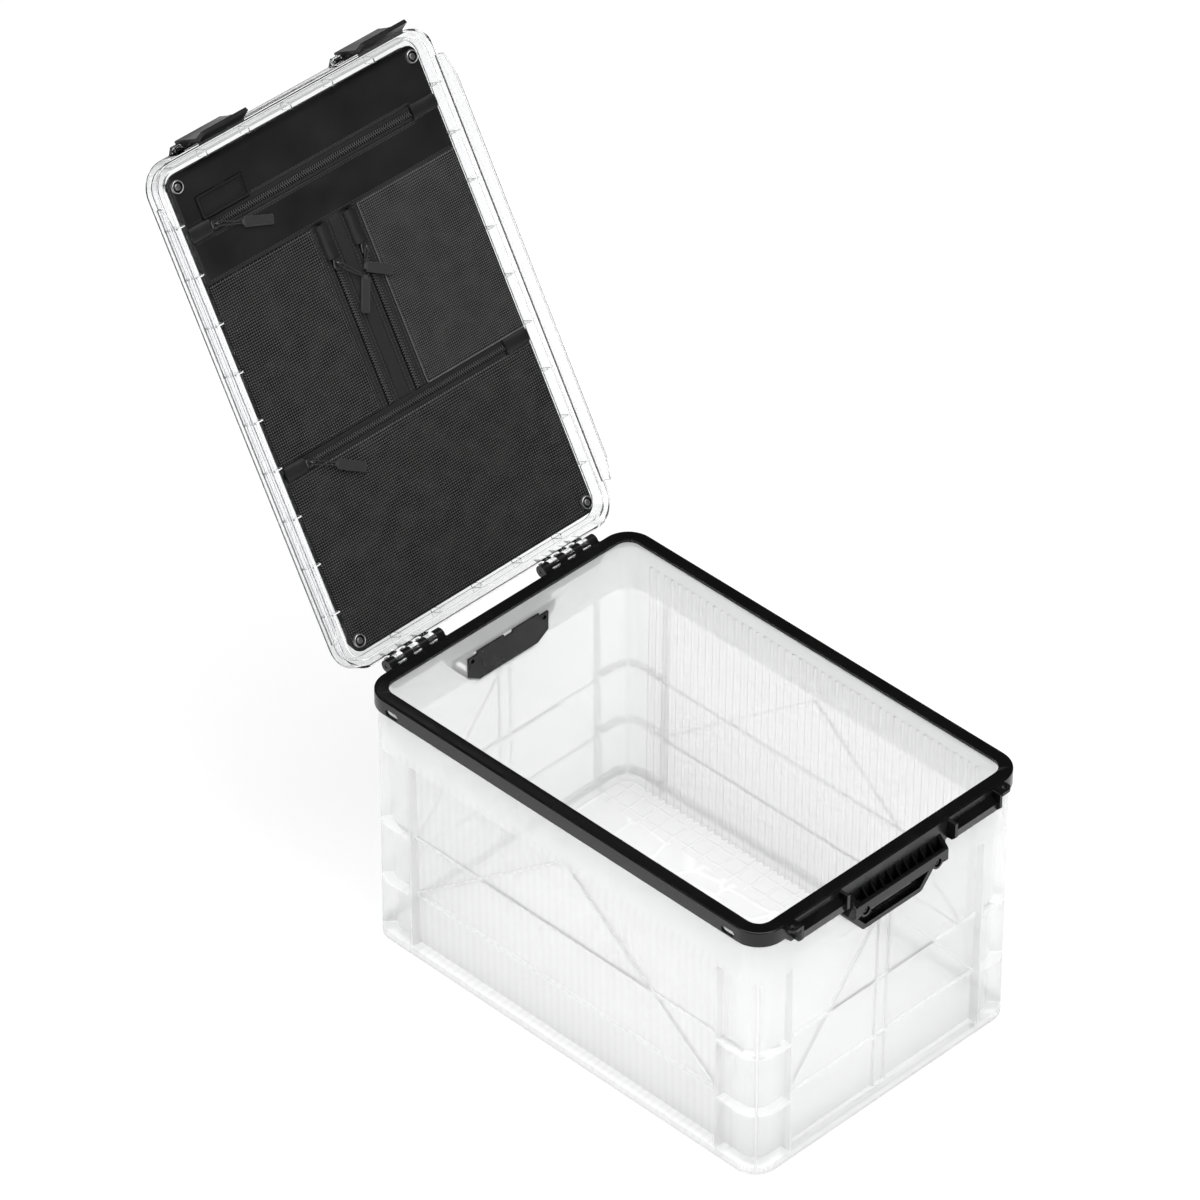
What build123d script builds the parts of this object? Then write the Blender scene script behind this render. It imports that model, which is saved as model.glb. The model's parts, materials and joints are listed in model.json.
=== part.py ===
from build123d import *
import os
from math import atan2, degrees, hypot, radians, tan

# Hinged storage crate for papers and keepsakes, in millimetres.
# The origin is the centre of the underside, +Z is up, +Y points at the hinge
# and the grip and the latches' keepers on the -Y side are the front.
# The lid is modelled closed and then swung open about the hinge.

# Rim frame
rim_width = 300.0
rim_length = 440.0
rim_top = 251.0
rim_corner = 24.0
rim_land = 11.75
rim_plate = 2.6
skirt_height = 14.0
skirt_wall = 2.7
skirt_fit = 0.3
rim_edge_round = 1.2
slot_length = 14.0
slot_height = 6.0
slot_from_end = 34.0
apron_half = 121.0
apron_drop = 20.5
apron_chamfer = 6.0

# Crate body
wall = 2.6
draft = 0.95
floor_thickness = 2.6
band_depth = 55.0
band_skin = 2.2
shelf_depths = (131.0, 190.0)
shelf_thickness = 2.2
foot_height = 8.0
foot_skin = 2.2
post_short_wall = 107.0
post_long_wall = 170.0
rib_thickness = 2.0
wall_rib_depth = 3.0
centre_rib_offset = 6.0
flute_pitch = 8.0
flute_count = 46
flute_base = 4.6
flute_tip = 2.0
flute_depth = 2.5
flute_top_depth = 16.0
flute_sink = 0.6

# Hand-hold and grip at each end
grip_half = 48.0
grip_cheek = 4.0
grip_front = 229.3
grip_bar = 2.5
grip_top_depth = 11.0
grip_shoulder_depth = 18.7
grip_front_depth = 20.5
grip_bottom_depth = 30.0
grip_floor = 2.0
cheek_bottom_depth = 34.0
pocket_count = 10
pocket_pitch = 9.3
pocket_rib = 1.6
bezel_half = 59.0
bezel_low_half = 33.0
bezel_turn_depth = 28.0
bezel_bottom_depth = 58.5
bezel_ring = 4.5
bezel_thickness = 2.5
bezel_round = 5.0
sleeve_wall = 2.0
sleeve_fit = 0.3
hand_box_wall = 2.2
screw_x = 40.4
screw_depth = 28.5
boss_radius = 5.75
screw_head_radius = 3.6
screw_head_height = 2.2
screw_radius = 1.9
screw_clearance = 0.15
screw_driver_radius = 1.5
screw_driver_depth = 1.1

# Cover plate inside each hand-hold
cover_half = 45.0
cover_low_half = 33.0
cover_top_depth = 24.4
cover_turn_depth = 42.6
cover_bottom_depth = 50.5
cover_face = 206.2
cover_plug_inset = 1.6
cover_fit = 0.25
cover_tab_near = 4.8
cover_tab_far = 34.8
cover_tab_height = 2.8

# Keepers at the front
keeper_in = 59.2
keeper_in_wall = 3.0
keeper_out = 113.0
keeper_out_wall = 2.5
keeper_front = 229.2
keeper_bottom_depth = 17.5
rail_front = 226.5
rail_top_depth = 6.2
rail_crest_depth = 11.0
rail_bottom_depth = 19.5
rail_lean = 1.4
rail_skin = 2.2
ear_out = 124.0
ear_thickness = 2.8
ear_hole_x = 119.0
ear_hole_y = 225.3
ear_hole_radius = 2.0

# Hinge
hinge_y = 226.2
hinge_depth = 2.0
knuckle_radius = 5.5
knuckle_width = 8.4
knuckle_gap = 0.25
knuckle_count = 7
hinge_group_x = 86.5
pin_radius = 1.6
pin_fit = 0.05
pin_inset = 0.6
lid_open_angle = 120.0

# Lid shell, heights above the rim's top when closed
lid_extra = 0.25
lid_seat = 0.3
lid_height = 17.0
lid_skin = 2.2
lid_wall = 2.0
lid_inner_wall_inset = 6.0
lid_edge_round = 2.6
gusset_thickness = 1.2
gusset_low = 1.9
gusset_reach = 135.4
gusset_long_pitch = 42.0
gusset_long_steps = 4
gusset_short_pitch = 45.4
gusset_short_steps = 2
wing_reach = 4.0
wing_skin = 2.0
wing_top = 4.0
wing_bottom = -9.5
wing_tip_bottom = -4.0
wing_half = 189.0
wing_slope_half = 169.0

# Latches and their lugs on the lid's front
trunnion_y = 223.8
trunnion_height = 4.2
trunnion_radius = 1.8
trunnion_fit = 0.06
barrel_radius = 3.1
latch_in = 62.5
latch_out = 110.0
latch_gap = 0.4
lug_in = 54.5
lug_out = 118.0
lug_radius = 3.8
lug_top = 16.5
latch_plate = 2.8
latch_face = 229.8
latch_top = 10.0
latch_hook_drop = 22.4
latch_hook_catch = 20.3
latch_hook_tip = 223.6
latch_lip_y = 235.2
latch_lip_drop = 30.5
latch_lip_turn = 20.0
latch_cheek = 2.4
latch_cheek_drop = 6.5

# Organizer panel in the lid
panel_half_x = 134.5
panel_half_y = 207.1
panel_corner = 12.0
panel_face = 4.57
skin_thickness = 2.4
board_thickness = 3.0
seam_gap = 0.3
leather_edge = 115.0
upper_zip_y = 157.0
upper_zip_left = 130.0
upper_zip_right = 107.0
piping_width = 1.2
piping_proud = 0.6
left_zip_x = -14.2
right_zip_x = 16.2
lower_zip_y = 50.0
board_screw_x = 127.5
board_screw_y = 197.6
board_screw_radius = 1.8
board_screw_head = 3.4
board_screw_head_height = 1.8
washer_radius = 5.25
washer_thickness = 1.0
boss_outer = 4.6
patch_x = (-120.0, -60.0)
patch_y = (-181.0, -168.0)
patch_thickness = 0.8

# Zips, their end flaps, sliders and pulls
zip_coil_radius = 1.3
zip_coil_sink = 0.3
upper_tape = 12.0
vertical_tape = 18.4
lower_tape = 13.0
garage_width = 14.0
garage_height = 1.6
garage_corner = 2.5
garage_inset = 1.5
garage_top = -111.5
upper_slider_x = -107.0
vertical_slider_y = -80.4
lower_slider_x = -108.0
slider_length = 9.0
slider_width = 7.6
slider_low = 1.2
slider_plate = 1.4
bridge_width = 2.4
bridge_length = 5.2
bridge_height = 3.2
bridge_hole_length = 2.4
bridge_hole_height = 2.0
cord_radius = 0.6
cord_spread = 2.4
tab_width = 8.6
tab_thickness = 1.8
tab_lift = 1.2
tab_corner = 1.5

# Sizes that follow
body_top = rim_top - rim_plate
half_x = rim_width / 2
half_y = rim_length / 2
inner_x = half_x - rim_land
inner_y = half_y - rim_land
inner_corner = rim_corner - rim_land
envelope_x = half_x - skirt_wall - skirt_fit
envelope_y = half_y - skirt_wall - skirt_fit
envelope_corner = rim_corner - skirt_wall - skirt_fit
wall_lean = tan(radians(draft))
band_low = rim_top - band_depth
shelf_heights = [rim_top - depth for depth in shelf_depths]
hinge_z = rim_top - hinge_depth
knuckle_pitch = knuckle_width + knuckle_gap
panel_z = rim_top + panel_face
board_low = panel_z + skin_thickness
board_high = board_low + board_thickness
lid_under = rim_top + lid_height - lid_skin
pull_pivot = slider_low + slider_plate + bridge_height / 2


def block(x0, x1, y0, y1, z0, z1):
    """A plain block between two opposite corners."""
    centre = Pos((x0 + x1) / 2, (y0 + y1) / 2, (z0 + z1) / 2)
    return centre * Box(abs(x1 - x0), abs(y1 - y0), abs(z1 - z0))


def rounded_block(half_width, half_length, corner, low, high):
    """A block with rounded upright edges, centred on the crate's axis."""
    plan = Plane.XY.offset(low) * RectangleRounded(2 * half_width, 2 * half_length, corner)
    return extrude(plan, amount=high - low)


def inside_half(side, height):
    """Half size between the drafted walls at one height."""
    return side - (body_top - height) * wall_lean


def drafted_block(grow, low, high):
    """The crate's inside grown outward, following the draft of its walls."""
    sections = []
    for height in (low, high):
        width = 2 * (inside_half(inner_x, height) + grow)
        length = 2 * (inside_half(inner_y, height) + grow)
        sections.append(Plane.XY.offset(height) * RectangleRounded(width, length, inner_corner + grow))
    return loft(sections, ruled=True)


def polygon(points):
    """A flat outline through the given points."""
    return Polygon(*points, align=None)


def yz_prism(points, x0, x1):
    """A profile given as (y, z) points, run along X."""
    plane = Plane(origin=(x0, 0, 0), x_dir=(0, 1, 0), z_dir=(1, 0, 0))
    return extrude(plane * polygon(points), amount=x1 - x0, dir=(1, 0, 0))


def xz_prism(sketch, y0, y1):
    """A sketch drawn in (x, z), run along Y from y0 to y1."""
    plane = Plane(origin=(0, y0, 0), x_dir=(1, 0, 0), z_dir=(0, -1, 0))
    return extrude(plane * sketch, amount=y0 - y1, dir=(0, -1, 0))


def rod(start, end, radius):
    """A round bar between two points."""
    line = Vector(*end) - Vector(*start)
    return extrude(Plane(origin=start, z_dir=line) * Circle(radius), amount=line.length)


def both_ends(piece):
    """The piece at the front together with its twin at the rear."""
    return piece + Rot(0, 0, 180) * piece


def diagonal_ribs(half_foot, foot_height_z, half_length):
    """Two thin plates that fall from the middle of a wall's band to its posts, along X."""
    plates = []
    rise = band_low - foot_height_z
    for side in (1, -1):
        tilt = degrees(atan2(-rise, half_foot * side))
        middle = (side * half_foot / 2, band_low - rise / 2)
        strip = Pos(*middle) * Rot(0, 0, tilt) * Rectangle(hypot(rise, half_foot) + wall, rib_thickness)
        plates.append(xz_prism(strip, -half_length, half_length))
    return plates


def wall_ribs():
    """Shallow ribs on the outside of the walls: two levels, a slanted pair and a centre pair."""
    layer = drafted_block(wall + wall_rib_depth, foot_height, band_low) - drafted_block(wall / 2, 0, body_top)
    plates = []
    for height in shelf_heights:
        plates.append(rounded_block(envelope_x, envelope_y, envelope_corner, height - shelf_thickness, height))
    short_walls = [xz for xz in diagonal_ribs(post_short_wall, shelf_heights[1], half_y)]
    long_walls = [Rot(0, 0, 90) * rib for rib in diagonal_ribs(post_long_wall, shelf_heights[1], half_x)]
    for side in (1, -1):
        x = side * centre_rib_offset
        low_x = x - rib_thickness / 2
        short_walls.append(block(low_x, low_x + rib_thickness, -half_y, half_y, foot_height, band_low))
    short_zone = block(-post_short_wall, post_short_wall, -half_y, half_y, 0, body_top)
    long_zone = block(-half_x, half_x, -post_long_wall, post_long_wall, 0, body_top)
    ribs = [layer & plate & short_zone for plate in plates + short_walls]
    ribs = [rib for rib in ribs] + [layer & plate & long_zone for plate in plates + long_walls]
    return ribs


def corner_posts():
    """Shelves, upright ribs and a slanting fin in each open corner of the walls."""
    outline = rounded_block(envelope_x, envelope_y, envelope_corner, 0, body_top)
    core = drafted_block(wall / 2, 0, body_top)
    pieces = []
    for sx in (1, -1):
        for sy in (1, -1):
            for height in shelf_heights:
                pieces.append(block(sx * post_short_wall, sx * half_x, sy * post_long_wall, sy * half_y,
                                    height - shelf_thickness, height))
            inner = (inner_x - half_x / 4, inner_y - half_x / 4)
            x = sx * post_short_wall
            y = sy * post_long_wall
            pieces.append(block(x, x + sx * rib_thickness, sy * inner[1], sy * half_y, 0, band_low))
            pieces.append(block(sx * inner[0], sx * half_x, y, y + sy * rib_thickness, 0, band_low))
            corner = Pos(sx * (inner_x - inner_corner), sy * (inner_y - inner_corner), band_low / 2)
            fin = Box(rim_corner * 4, rib_thickness, band_low)
            pieces.append(corner * Rot(0, 0, 45 * sx * sy) * fin
                          & block(sx * post_short_wall, sx * half_x, sy * post_long_wall, sy * half_y, 0, band_low))
    return [(piece & outline) - core for piece in pieces]


def flutes():
    """Upright ribs inside both long walls, which leave slots for thin dividers."""
    top = rim_top - flute_top_depth
    face = inside_half(inner_x, top)
    first = -(flute_count - 1) * flute_pitch / 2
    section = []
    for index in range(flute_count):
        y = first + index * flute_pitch
        section.append(polygon([(face + flute_sink, y - flute_base / 2), (face - flute_depth, y - flute_tip / 2),
                                (face - flute_depth, y + flute_tip / 2), (face + flute_sink, y + flute_base / 2)]))
    fall = Vector(-wall_lean, 0, -1)
    length = (top - floor_thickness / 2) * fall.length
    ribs = [extrude(Plane.XY.offset(top) * rib, amount=length, dir=fall) for rib in section]
    return ribs + [mirror(rib, about=Plane.YZ) for rib in ribs]


def mirrored_outline(points):
    """An outline given by its +X half, from top to bottom, and closed symmetrically."""
    return polygon(points + [(-x, z) for x, z in reversed(points)])


def bezel_outline(inset=0.0):
    """The hand-hold's outline in (x, z), with rounded lower corners."""
    shape = mirrored_outline([(bezel_half, rim_top - grip_front_depth),
                              (bezel_half, rim_top - bezel_turn_depth),
                              (bezel_low_half, rim_top - bezel_bottom_depth)])
    shape = fillet(shape.vertices().sort_by(Axis.Y)[:4], bezel_round)
    return offset(shape, amount=-inset, kind=Kind.INTERSECTION) if inset else shape


def cover_outline(grow=0.0):
    """The outline of the cover plate inside the hand-hold."""
    shape = mirrored_outline([(cover_half, rim_top - cover_top_depth),
                              (cover_half, rim_top - cover_turn_depth),
                              (cover_low_half, rim_top - cover_bottom_depth)])
    return offset(shape, amount=grow, kind=Kind.INTERSECTION) if grow else shape


def y_rods(places, radius, y_front, y_back):
    """Round bars along Y at the given (x, z) places."""
    return [rod((x, y_front, z), (x, y_back, z), radius) for x, z in places]


screw_places = [(side * screw_x, rim_top - screw_depth) for side in (1, -1)]
screw_hole = screw_radius + screw_clearance
sleeve_outer_inset = bezel_ring - sleeve_wall
body_hole_inset = sleeve_outer_inset - sleeve_fit


def crate_body():
    """The translucent box: drafted walls, floor, top band, corner posts, ribs and divider slots."""
    shell = drafted_block(wall, 0, body_top)
    band = rounded_block(envelope_x, envelope_y, envelope_corner, band_low, body_top)
    band -= rounded_block(envelope_x - band_skin, envelope_y - band_skin, envelope_corner - band_skin,
                          band_low, body_top - band_skin)
    foot = rounded_block(envelope_x, envelope_y, envelope_corner, 0, foot_height)
    foot -= rounded_block(envelope_x - foot_skin, envelope_y - foot_skin, envelope_corner - foot_skin,
                          0, foot_height - foot_skin)
    hand_box = xz_prism(bezel_outline(body_hole_inset - hand_box_wall), -inner_y, -envelope_y)
    body = shell + band + foot + both_ends(hand_box)
    body += corner_posts() + wall_ribs()
    body -= drafted_block(0, floor_thickness, body_top)
    hand_hole = xz_prism(bezel_outline(body_hole_inset), -inner_y, -half_y)
    hand_hole -= drafted_block(wall, 0, body_top)
    cover_hole = xz_prism(cover_outline(cover_fit - cover_plug_inset), -inner_y + rim_land, -half_y)
    body -= both_ends(hand_hole + cover_hole)
    for drill in y_rods(screw_places, screw_hole, -half_y, -cover_face + 1):
        body -= both_ends(drill)
    return body + flutes()


def grip():
    """The front grip: a bar with pockets behind it, its cheeks, screw bosses and the hand-hold's bezel."""
    skirt_face = half_y - skirt_wall / 2
    bar_back = grip_front - grip_bar
    shoulder = (-(bar_back + grip_bar / 2), rim_top - grip_shoulder_depth)
    top = (-half_y - 0.01, rim_top - grip_top_depth)
    bottom = rim_top - grip_bottom_depth
    bar = yz_prism([(-bar_back, shoulder[1]), shoulder, (-grip_front, rim_top - grip_front_depth),
                    (-grip_front, bottom), (-bar_back, bottom)], -grip_half, grip_half)
    rib_profile = [(-skirt_face, top[1]), top, shoulder, (shoulder[0], bottom), (-skirt_face, bottom)]
    pieces = [bar]
    for index in range(1, pocket_count):
        x = (index - pocket_count / 2) * pocket_pitch
        pieces.append(yz_prism(rib_profile, x - pocket_rib / 2, x + pocket_rib / 2))
    pieces.append(block(-grip_half, grip_half, -envelope_y, -grip_front, bottom, bottom + grip_floor))
    cheek_low = rim_top - cheek_bottom_depth
    cheek = [(-skirt_face, top[1]), top, shoulder, (-grip_front, rim_top - grip_front_depth),
             (-grip_front, cheek_low + grip_bar), (-bar_back, cheek_low), (-envelope_y, cheek_low)]
    for side in (1, -1):
        pieces.append(yz_prism(cheek, *sorted((side * grip_half, side * (grip_half + grip_cheek)))))
    pieces.append(block(-apron_half / 2, apron_half / 2, -envelope_y, -half_y, bottom, rim_top - skirt_height)
                  & block(-grip_half, grip_half, -envelope_y, -half_y, bottom, rim_top))
    bezel_face = envelope_y + bezel_thickness
    ring = xz_prism(bezel_outline(), -envelope_y, -bezel_face)
    sleeve = xz_prism(bezel_outline(sleeve_outer_inset), -inner_y, -bezel_face)
    sleeve -= drafted_block(wall + sleeve_fit, 0, body_top)
    opening = xz_prism(bezel_outline(bezel_ring), -inner_y + rim_land, -half_y)
    pieces.append(ring + sleeve - opening)
    bosses = []
    for boss in y_rods(screw_places, boss_radius, -grip_front, -inner_y):
        bosses.append(boss - drafted_block(wall + sleeve_fit, 0, body_top))
    solid = pieces[0] + pieces[1:] + bosses
    solid -= y_rods(screw_places, screw_hole, -grip_front - 1, -inner_y)
    return solid - y_rods(screw_places, screw_head_radius + screw_clearance,
                          -grip_front - 1, -grip_front + screw_head_height + 2 * screw_clearance)


def apron():
    """The deeper strip of the rim's side behind the grip, with chamfered ends."""
    shape = mirrored_outline([(apron_half, rim_top - skirt_height + 1),
                              (apron_half, rim_top - apron_drop + apron_chamfer),
                              (apron_half - apron_chamfer, rim_top - apron_drop)])
    return xz_prism(shape, -envelope_y - skirt_fit, -half_y)


def keeper():
    """One keeper on the front: two flanges, a sloping rail for the hook and a padlock ear."""
    root = -half_y + skirt_wall / 2
    top = rim_top - 1.5
    low = rim_top - keeper_bottom_depth
    flange = [(root, top), (-keeper_front, top), (-keeper_front, low + keeper_out_wall),
              (-keeper_front + keeper_out_wall, low), (root, low)]
    rail_low = rim_top - rail_bottom_depth
    crest = rim_top - rail_crest_depth
    rail = [(root, rim_top - rail_top_depth + 1), (-half_y, rim_top - rail_top_depth),
            (-rail_front, crest), (-rail_front + rail_lean, rail_low), (root, rail_low)]
    hollow = [(-half_y, rim_top - rail_top_depth - 2 * rail_skin), (-rail_front + rail_skin, crest - rail_skin),
              (-rail_front + rail_lean + rail_skin, rail_low - 1), (-half_y, rail_low - 1)]
    pieces = [yz_prism(flange, keeper_in, keeper_in + keeper_in_wall),
              yz_prism(flange, keeper_out - keeper_out_wall, keeper_out),
              yz_prism(rail, keeper_in + 1, keeper_out - 1)
              - yz_prism(hollow, keeper_in + keeper_in_wall, keeper_out - keeper_out_wall)]
    ear_round = ear_out - ear_hole_x
    ear = block(keeper_out - 1, ear_hole_x, root, -ear_hole_y - ear_round, rim_top - ear_thickness, rim_top)
    ear += block(ear_hole_x - 1, ear_out, root, -ear_hole_y, rim_top - ear_thickness, rim_top)
    ear += Pos(ear_hole_x, -ear_hole_y, rim_top - ear_thickness / 2) * Cylinder(ear_round, ear_thickness)
    gusset = [(root, rim_top - ear_thickness), (-ear_hole_y, rim_top - ear_thickness),
              (root, rim_top - skirt_height)]
    ear += yz_prism(gusset, keeper_out - 1, keeper_out + rib_thickness)
    ear -= Pos(ear_hole_x, -ear_hole_y, rim_top) * Cylinder(ear_hole_radius, 4 * ear_thickness)
    return pieces[0] + pieces[1:] + ear


def knuckle_places(first):
    """Start and end along X of every second knuckle in both hinge groups."""
    spans = []
    for group in (-hinge_group_x, hinge_group_x):
        start = group - (knuckle_count * knuckle_pitch - knuckle_gap) / 2
        for index in range(first, knuckle_count, 2):
            low = start + index * knuckle_pitch
            spans.append((low, low + knuckle_width))
    return spans


def knuckles(web, first, hole_radius):
    """Knuckles round the hinge's axis, each with a web that reaches its carrier."""
    solids = []
    for low, high in knuckle_places(first):
        barrel = rod((low, hinge_y, hinge_z), (high, hinge_y, hinge_z), knuckle_radius)
        barrel += yz_prism(web, low, high)
        solids.append(barrel - rod((low - 1, hinge_y, hinge_z), (high + 1, hinge_y, hinge_z), hole_radius))
    return solids


def rim_frame():
    """The black frame on the crate's edge, with its grips, keepers and hinge knuckles."""
    frame = rounded_block(half_x, half_y, rim_corner, rim_top - skirt_height, rim_top)
    frame = fillet(frame.faces().sort_by(Axis.Z)[-1].edges(), rim_edge_round)
    frame -= rounded_block(half_x - skirt_wall, half_y - skirt_wall, rim_corner - skirt_wall, 0, body_top)
    frame -= rounded_block(inner_x, inner_y, inner_corner, 0, rim_top + 1)
    slot = Plane.YZ * SlotOverall(slot_length, slot_height)
    slot = extrude(slot, amount=rim_width, both=True)
    for side in (1, -1):
        frame -= Pos(0, side * (half_y - slot_from_end), rim_top - skirt_height / 2 - 3) * slot
    ends = both_ends(apron()) + both_ends(grip())
    keepers = keeper()
    web = [(half_y - skirt_wall / 2, hinge_z - knuckle_radius), (hinge_y, hinge_z - knuckle_radius),
           (hinge_y, rim_top), (half_y - skirt_wall / 2, rim_top)]
    frame += ends
    frame += [keepers, mirror(keepers, about=Plane.YZ)]
    return frame + knuckles(web, 0, pin_radius + pin_fit / 2)


def grip_cover():
    """The plate that closes the front hand-hold from inside, seated in the wall and on its face."""
    outline = cover_outline()
    for side in (1, -1):
        middle = side * (cover_tab_near + cover_tab_far) / 2
        tab = Pos(middle, rim_top - cover_top_depth) * Rectangle(cover_tab_far - cover_tab_near, 2 * cover_tab_height)
        outline += tab
    flange = xz_prism(outline, -cover_face, -half_y) & drafted_block(0, 0, body_top)
    plug = xz_prism(cover_outline(-cover_plug_inset), -cover_face, -half_y) & drafted_block(wall, 0, body_top)
    return flange + plug - y_rods(screw_places, screw_hole, -half_y, -cover_face + 1)


def grip_screw_set():
    """The two screws of the front grip."""
    solids = []
    for x, z in screw_places:
        face = -grip_front + screw_clearance
        head = rod((x, face, z), (x, face + screw_head_height, z), screw_head_radius)
        shank = rod((x, face, z), (x, -cover_face - screw_clearance, z), screw_radius)
        recess = rod((x, face - 1, z), (x, face + screw_driver_depth, z), screw_driver_radius)
        solids.append(head + shank - recess)
    return solids


def hinge_pin(group):
    """One hinge pin along its group of knuckles."""
    reach = (knuckle_count * knuckle_pitch - knuckle_gap) / 2 - pin_inset
    return rod((group - reach, hinge_y, hinge_z), (group + reach, hinge_y, hinge_z), pin_radius)


def lid_shell():
    """The clear lid, closed: top skin, double rim, gussets, side wings, lugs and hinge knuckles."""
    low = rim_top + lid_seat
    high = rim_top + lid_height
    out_x = half_x
    out_y = half_y + lid_extra
    shell = rounded_block(out_x, out_y, rim_corner, low, high)
    shell = fillet(shell.faces().sort_by(Axis.Z)[-1].edges(), lid_edge_round)
    shell -= rounded_block(out_x - lid_wall, out_y - lid_wall, rim_corner - lid_wall, 0, lid_under)
    inner = lid_inner_wall_inset
    rail = rounded_block(out_x - inner, out_y - inner, rim_corner - inner, low, lid_under + lid_skin / 2)
    rail_inside = inner + lid_wall
    rail -= rounded_block(out_x - rail_inside, out_y - rail_inside, rim_corner - rail_inside, 0, lid_under)
    pieces = [rail]
    fin_low = rim_top + gusset_low
    fin_x = out_x - inner - lid_wall / 2
    fin_y = out_y - inner - lid_wall / 2
    for index in range(-gusset_long_steps, gusset_long_steps + 1):
        y = index * gusset_long_pitch
        for side in (1, -1):
            pieces.append(block(side * gusset_reach, side * fin_x, y - gusset_thickness / 2,
                                y + gusset_thickness / 2, fin_low, lid_under + lid_skin / 2))
    reach_y = panel_half_y + gusset_reach - panel_half_x
    for index in range(-gusset_short_steps, gusset_short_steps + 1):
        x = index * gusset_short_pitch
        for side in (1, -1):
            pieces.append(block(x - gusset_thickness / 2, x + gusset_thickness / 2, side * reach_y,
                                side * fin_y, fin_low, lid_under + lid_skin / 2))
    for side in (1, -1):
        pieces.append(lid_wing(side, out_x))
        pieces += lid_lugs(side)
    for x in (board_screw_x, -board_screw_x):
        for y in (board_screw_y, -board_screw_y):
            post = rod((x, y, board_high), (x, y, lid_under + lid_skin / 2), boss_outer)
            pieces.append(post - rod((x, y, board_high - 1), (x, y, lid_under - 0.5), board_screw_radius + screw_clearance))
    web = [(out_y - lid_wall / 2, low + 0.3), (out_y - lid_wall / 2, high - lid_edge_round),
           (out_y, high - lid_edge_round), (hinge_y + knuckle_radius * 0.86, hinge_z + knuckle_radius * 0.5),
           (hinge_y, hinge_z), (hinge_y - knuckle_radius * 0.82, hinge_z + knuckle_radius * 0.57)]
    return shell + pieces + knuckles(web, 1, pin_radius + pin_fit)


def lid_wing(side, out_x):
    """The flap along one long side that hangs over the rim's side."""
    tip = out_x + wing_reach
    outline = polygon([(-wing_half, rim_top + wing_top), (-wing_half, rim_top + wing_tip_bottom),
                       (-wing_slope_half, rim_top + wing_bottom), (wing_slope_half, rim_top + wing_bottom),
                       (wing_half, rim_top + wing_tip_bottom), (wing_half, rim_top + wing_top)])
    plane = Plane(origin=(tip - wing_skin, 0, 0), x_dir=(0, 1, 0), z_dir=(1, 0, 0))
    flap = extrude(plane * outline, amount=wing_skin, dir=(1, 0, 0))
    shelf = block(out_x - lid_wall / 2, tip, -wing_half, wing_half,
                  rim_top + wing_top - wing_skin, rim_top + wing_top)
    wing = flap + shelf
    return wing if side > 0 else mirror(wing, about=Plane.YZ)


def lid_lugs(side):
    """The two lugs on the lid's front that hold one latch's trunnion."""
    axis_z = rim_top + trunnion_height
    wall_y = -(half_y + lid_extra) + lid_wall / 2
    profile = [(wall_y, axis_z - lug_radius), (-trunnion_y, axis_z - lug_radius), (-trunnion_y - lug_radius, axis_z),
               (-trunnion_y - lug_radius, axis_z + lug_radius * 0.6), (wall_y, rim_top + lug_top - lid_edge_round)]
    lugs = []
    for near, far in ((lug_in, latch_in - latch_gap), (latch_out + latch_gap, lug_out)):
        low, high = sorted((side * near, side * far))
        lug = yz_prism(profile, low, high)
        lug += rod((low, -trunnion_y, axis_z), (high, -trunnion_y, axis_z), lug_radius)
        hole = rod((low - 1, -trunnion_y, axis_z), (high + 1, -trunnion_y, axis_z), trunnion_radius + trunnion_fit)
        lugs.append(lug - hole)
    return lugs


def latch(side):
    """One latch, closed: cover plate, hook, flared finger lip, barrel and trunnion."""
    axis_z = rim_top + trunnion_height
    low, high = sorted((side * latch_in, side * latch_out))
    inner = -(latch_face - latch_plate)
    top = rim_top + latch_top
    turn = rim_top - latch_lip_turn
    catch = rim_top - latch_hook_catch
    hook = rim_top - latch_hook_drop
    lip = rim_top - latch_lip_drop
    profile = [(inner + 0.8, top - 2.6), (inner - 0.6, top), (-latch_face + 0.8, top), (-latch_face, top - 2.0),
               (-latch_face, turn), (-latch_lip_y, lip), (-latch_lip_y + latch_plate * 0.95, lip - latch_plate * 0.85),
               (inner, hook - 1.0), (-latch_hook_tip, hook + 0.6), (-latch_hook_tip, catch), (inner, catch)]
    plate = yz_prism(profile, low, high)
    ends = plate.edges().filter_by(Axis.X).group_by(Axis.Z)[0]
    plate = fillet(ends, latch_plate * 0.3)
    barrel = rod((low, -trunnion_y, axis_z), (high, -trunnion_y, axis_z), barrel_radius)
    web = yz_prism([(-trunnion_y, axis_z - barrel_radius), (-trunnion_y, axis_z + barrel_radius),
                    (inner - 0.5, axis_z + barrel_radius), (inner - 0.5, axis_z - barrel_radius)], low, high)
    cheek_low = rim_top - latch_cheek_drop
    cheek = [(inner - 0.5, axis_z), (-trunnion_y, axis_z), (-trunnion_y - 1, cheek_low), (inner - 0.5, cheek_low - 3)]
    body = plate + [barrel, web]
    for x in (low, high - latch_cheek):
        body += yz_prism(cheek, x, x + latch_cheek)
    near, far = sorted((side * (lug_in + 1), side * (lug_out - 1)))
    return body + rod((near, -trunnion_y, axis_z), (far, -trunnion_y, axis_z), trunnion_radius)


def panel_block(x0, x1, y0, y1, out_low, out_high):
    """A block on the organizer, its depth measured out from the panel's face."""
    return block(x0, x1, y0, y1, panel_z - out_high, panel_z - out_low)


def panel_outline_block(out_low, out_high):
    """The whole organizer outline between two depths."""
    return rounded_block(panel_half_x, panel_half_y, panel_corner, panel_z - out_high, panel_z - out_low)


board_screw_places = [(sx * board_screw_x, sy * board_screw_y) for sx in (1, -1) for sy in (1, -1)]


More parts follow.
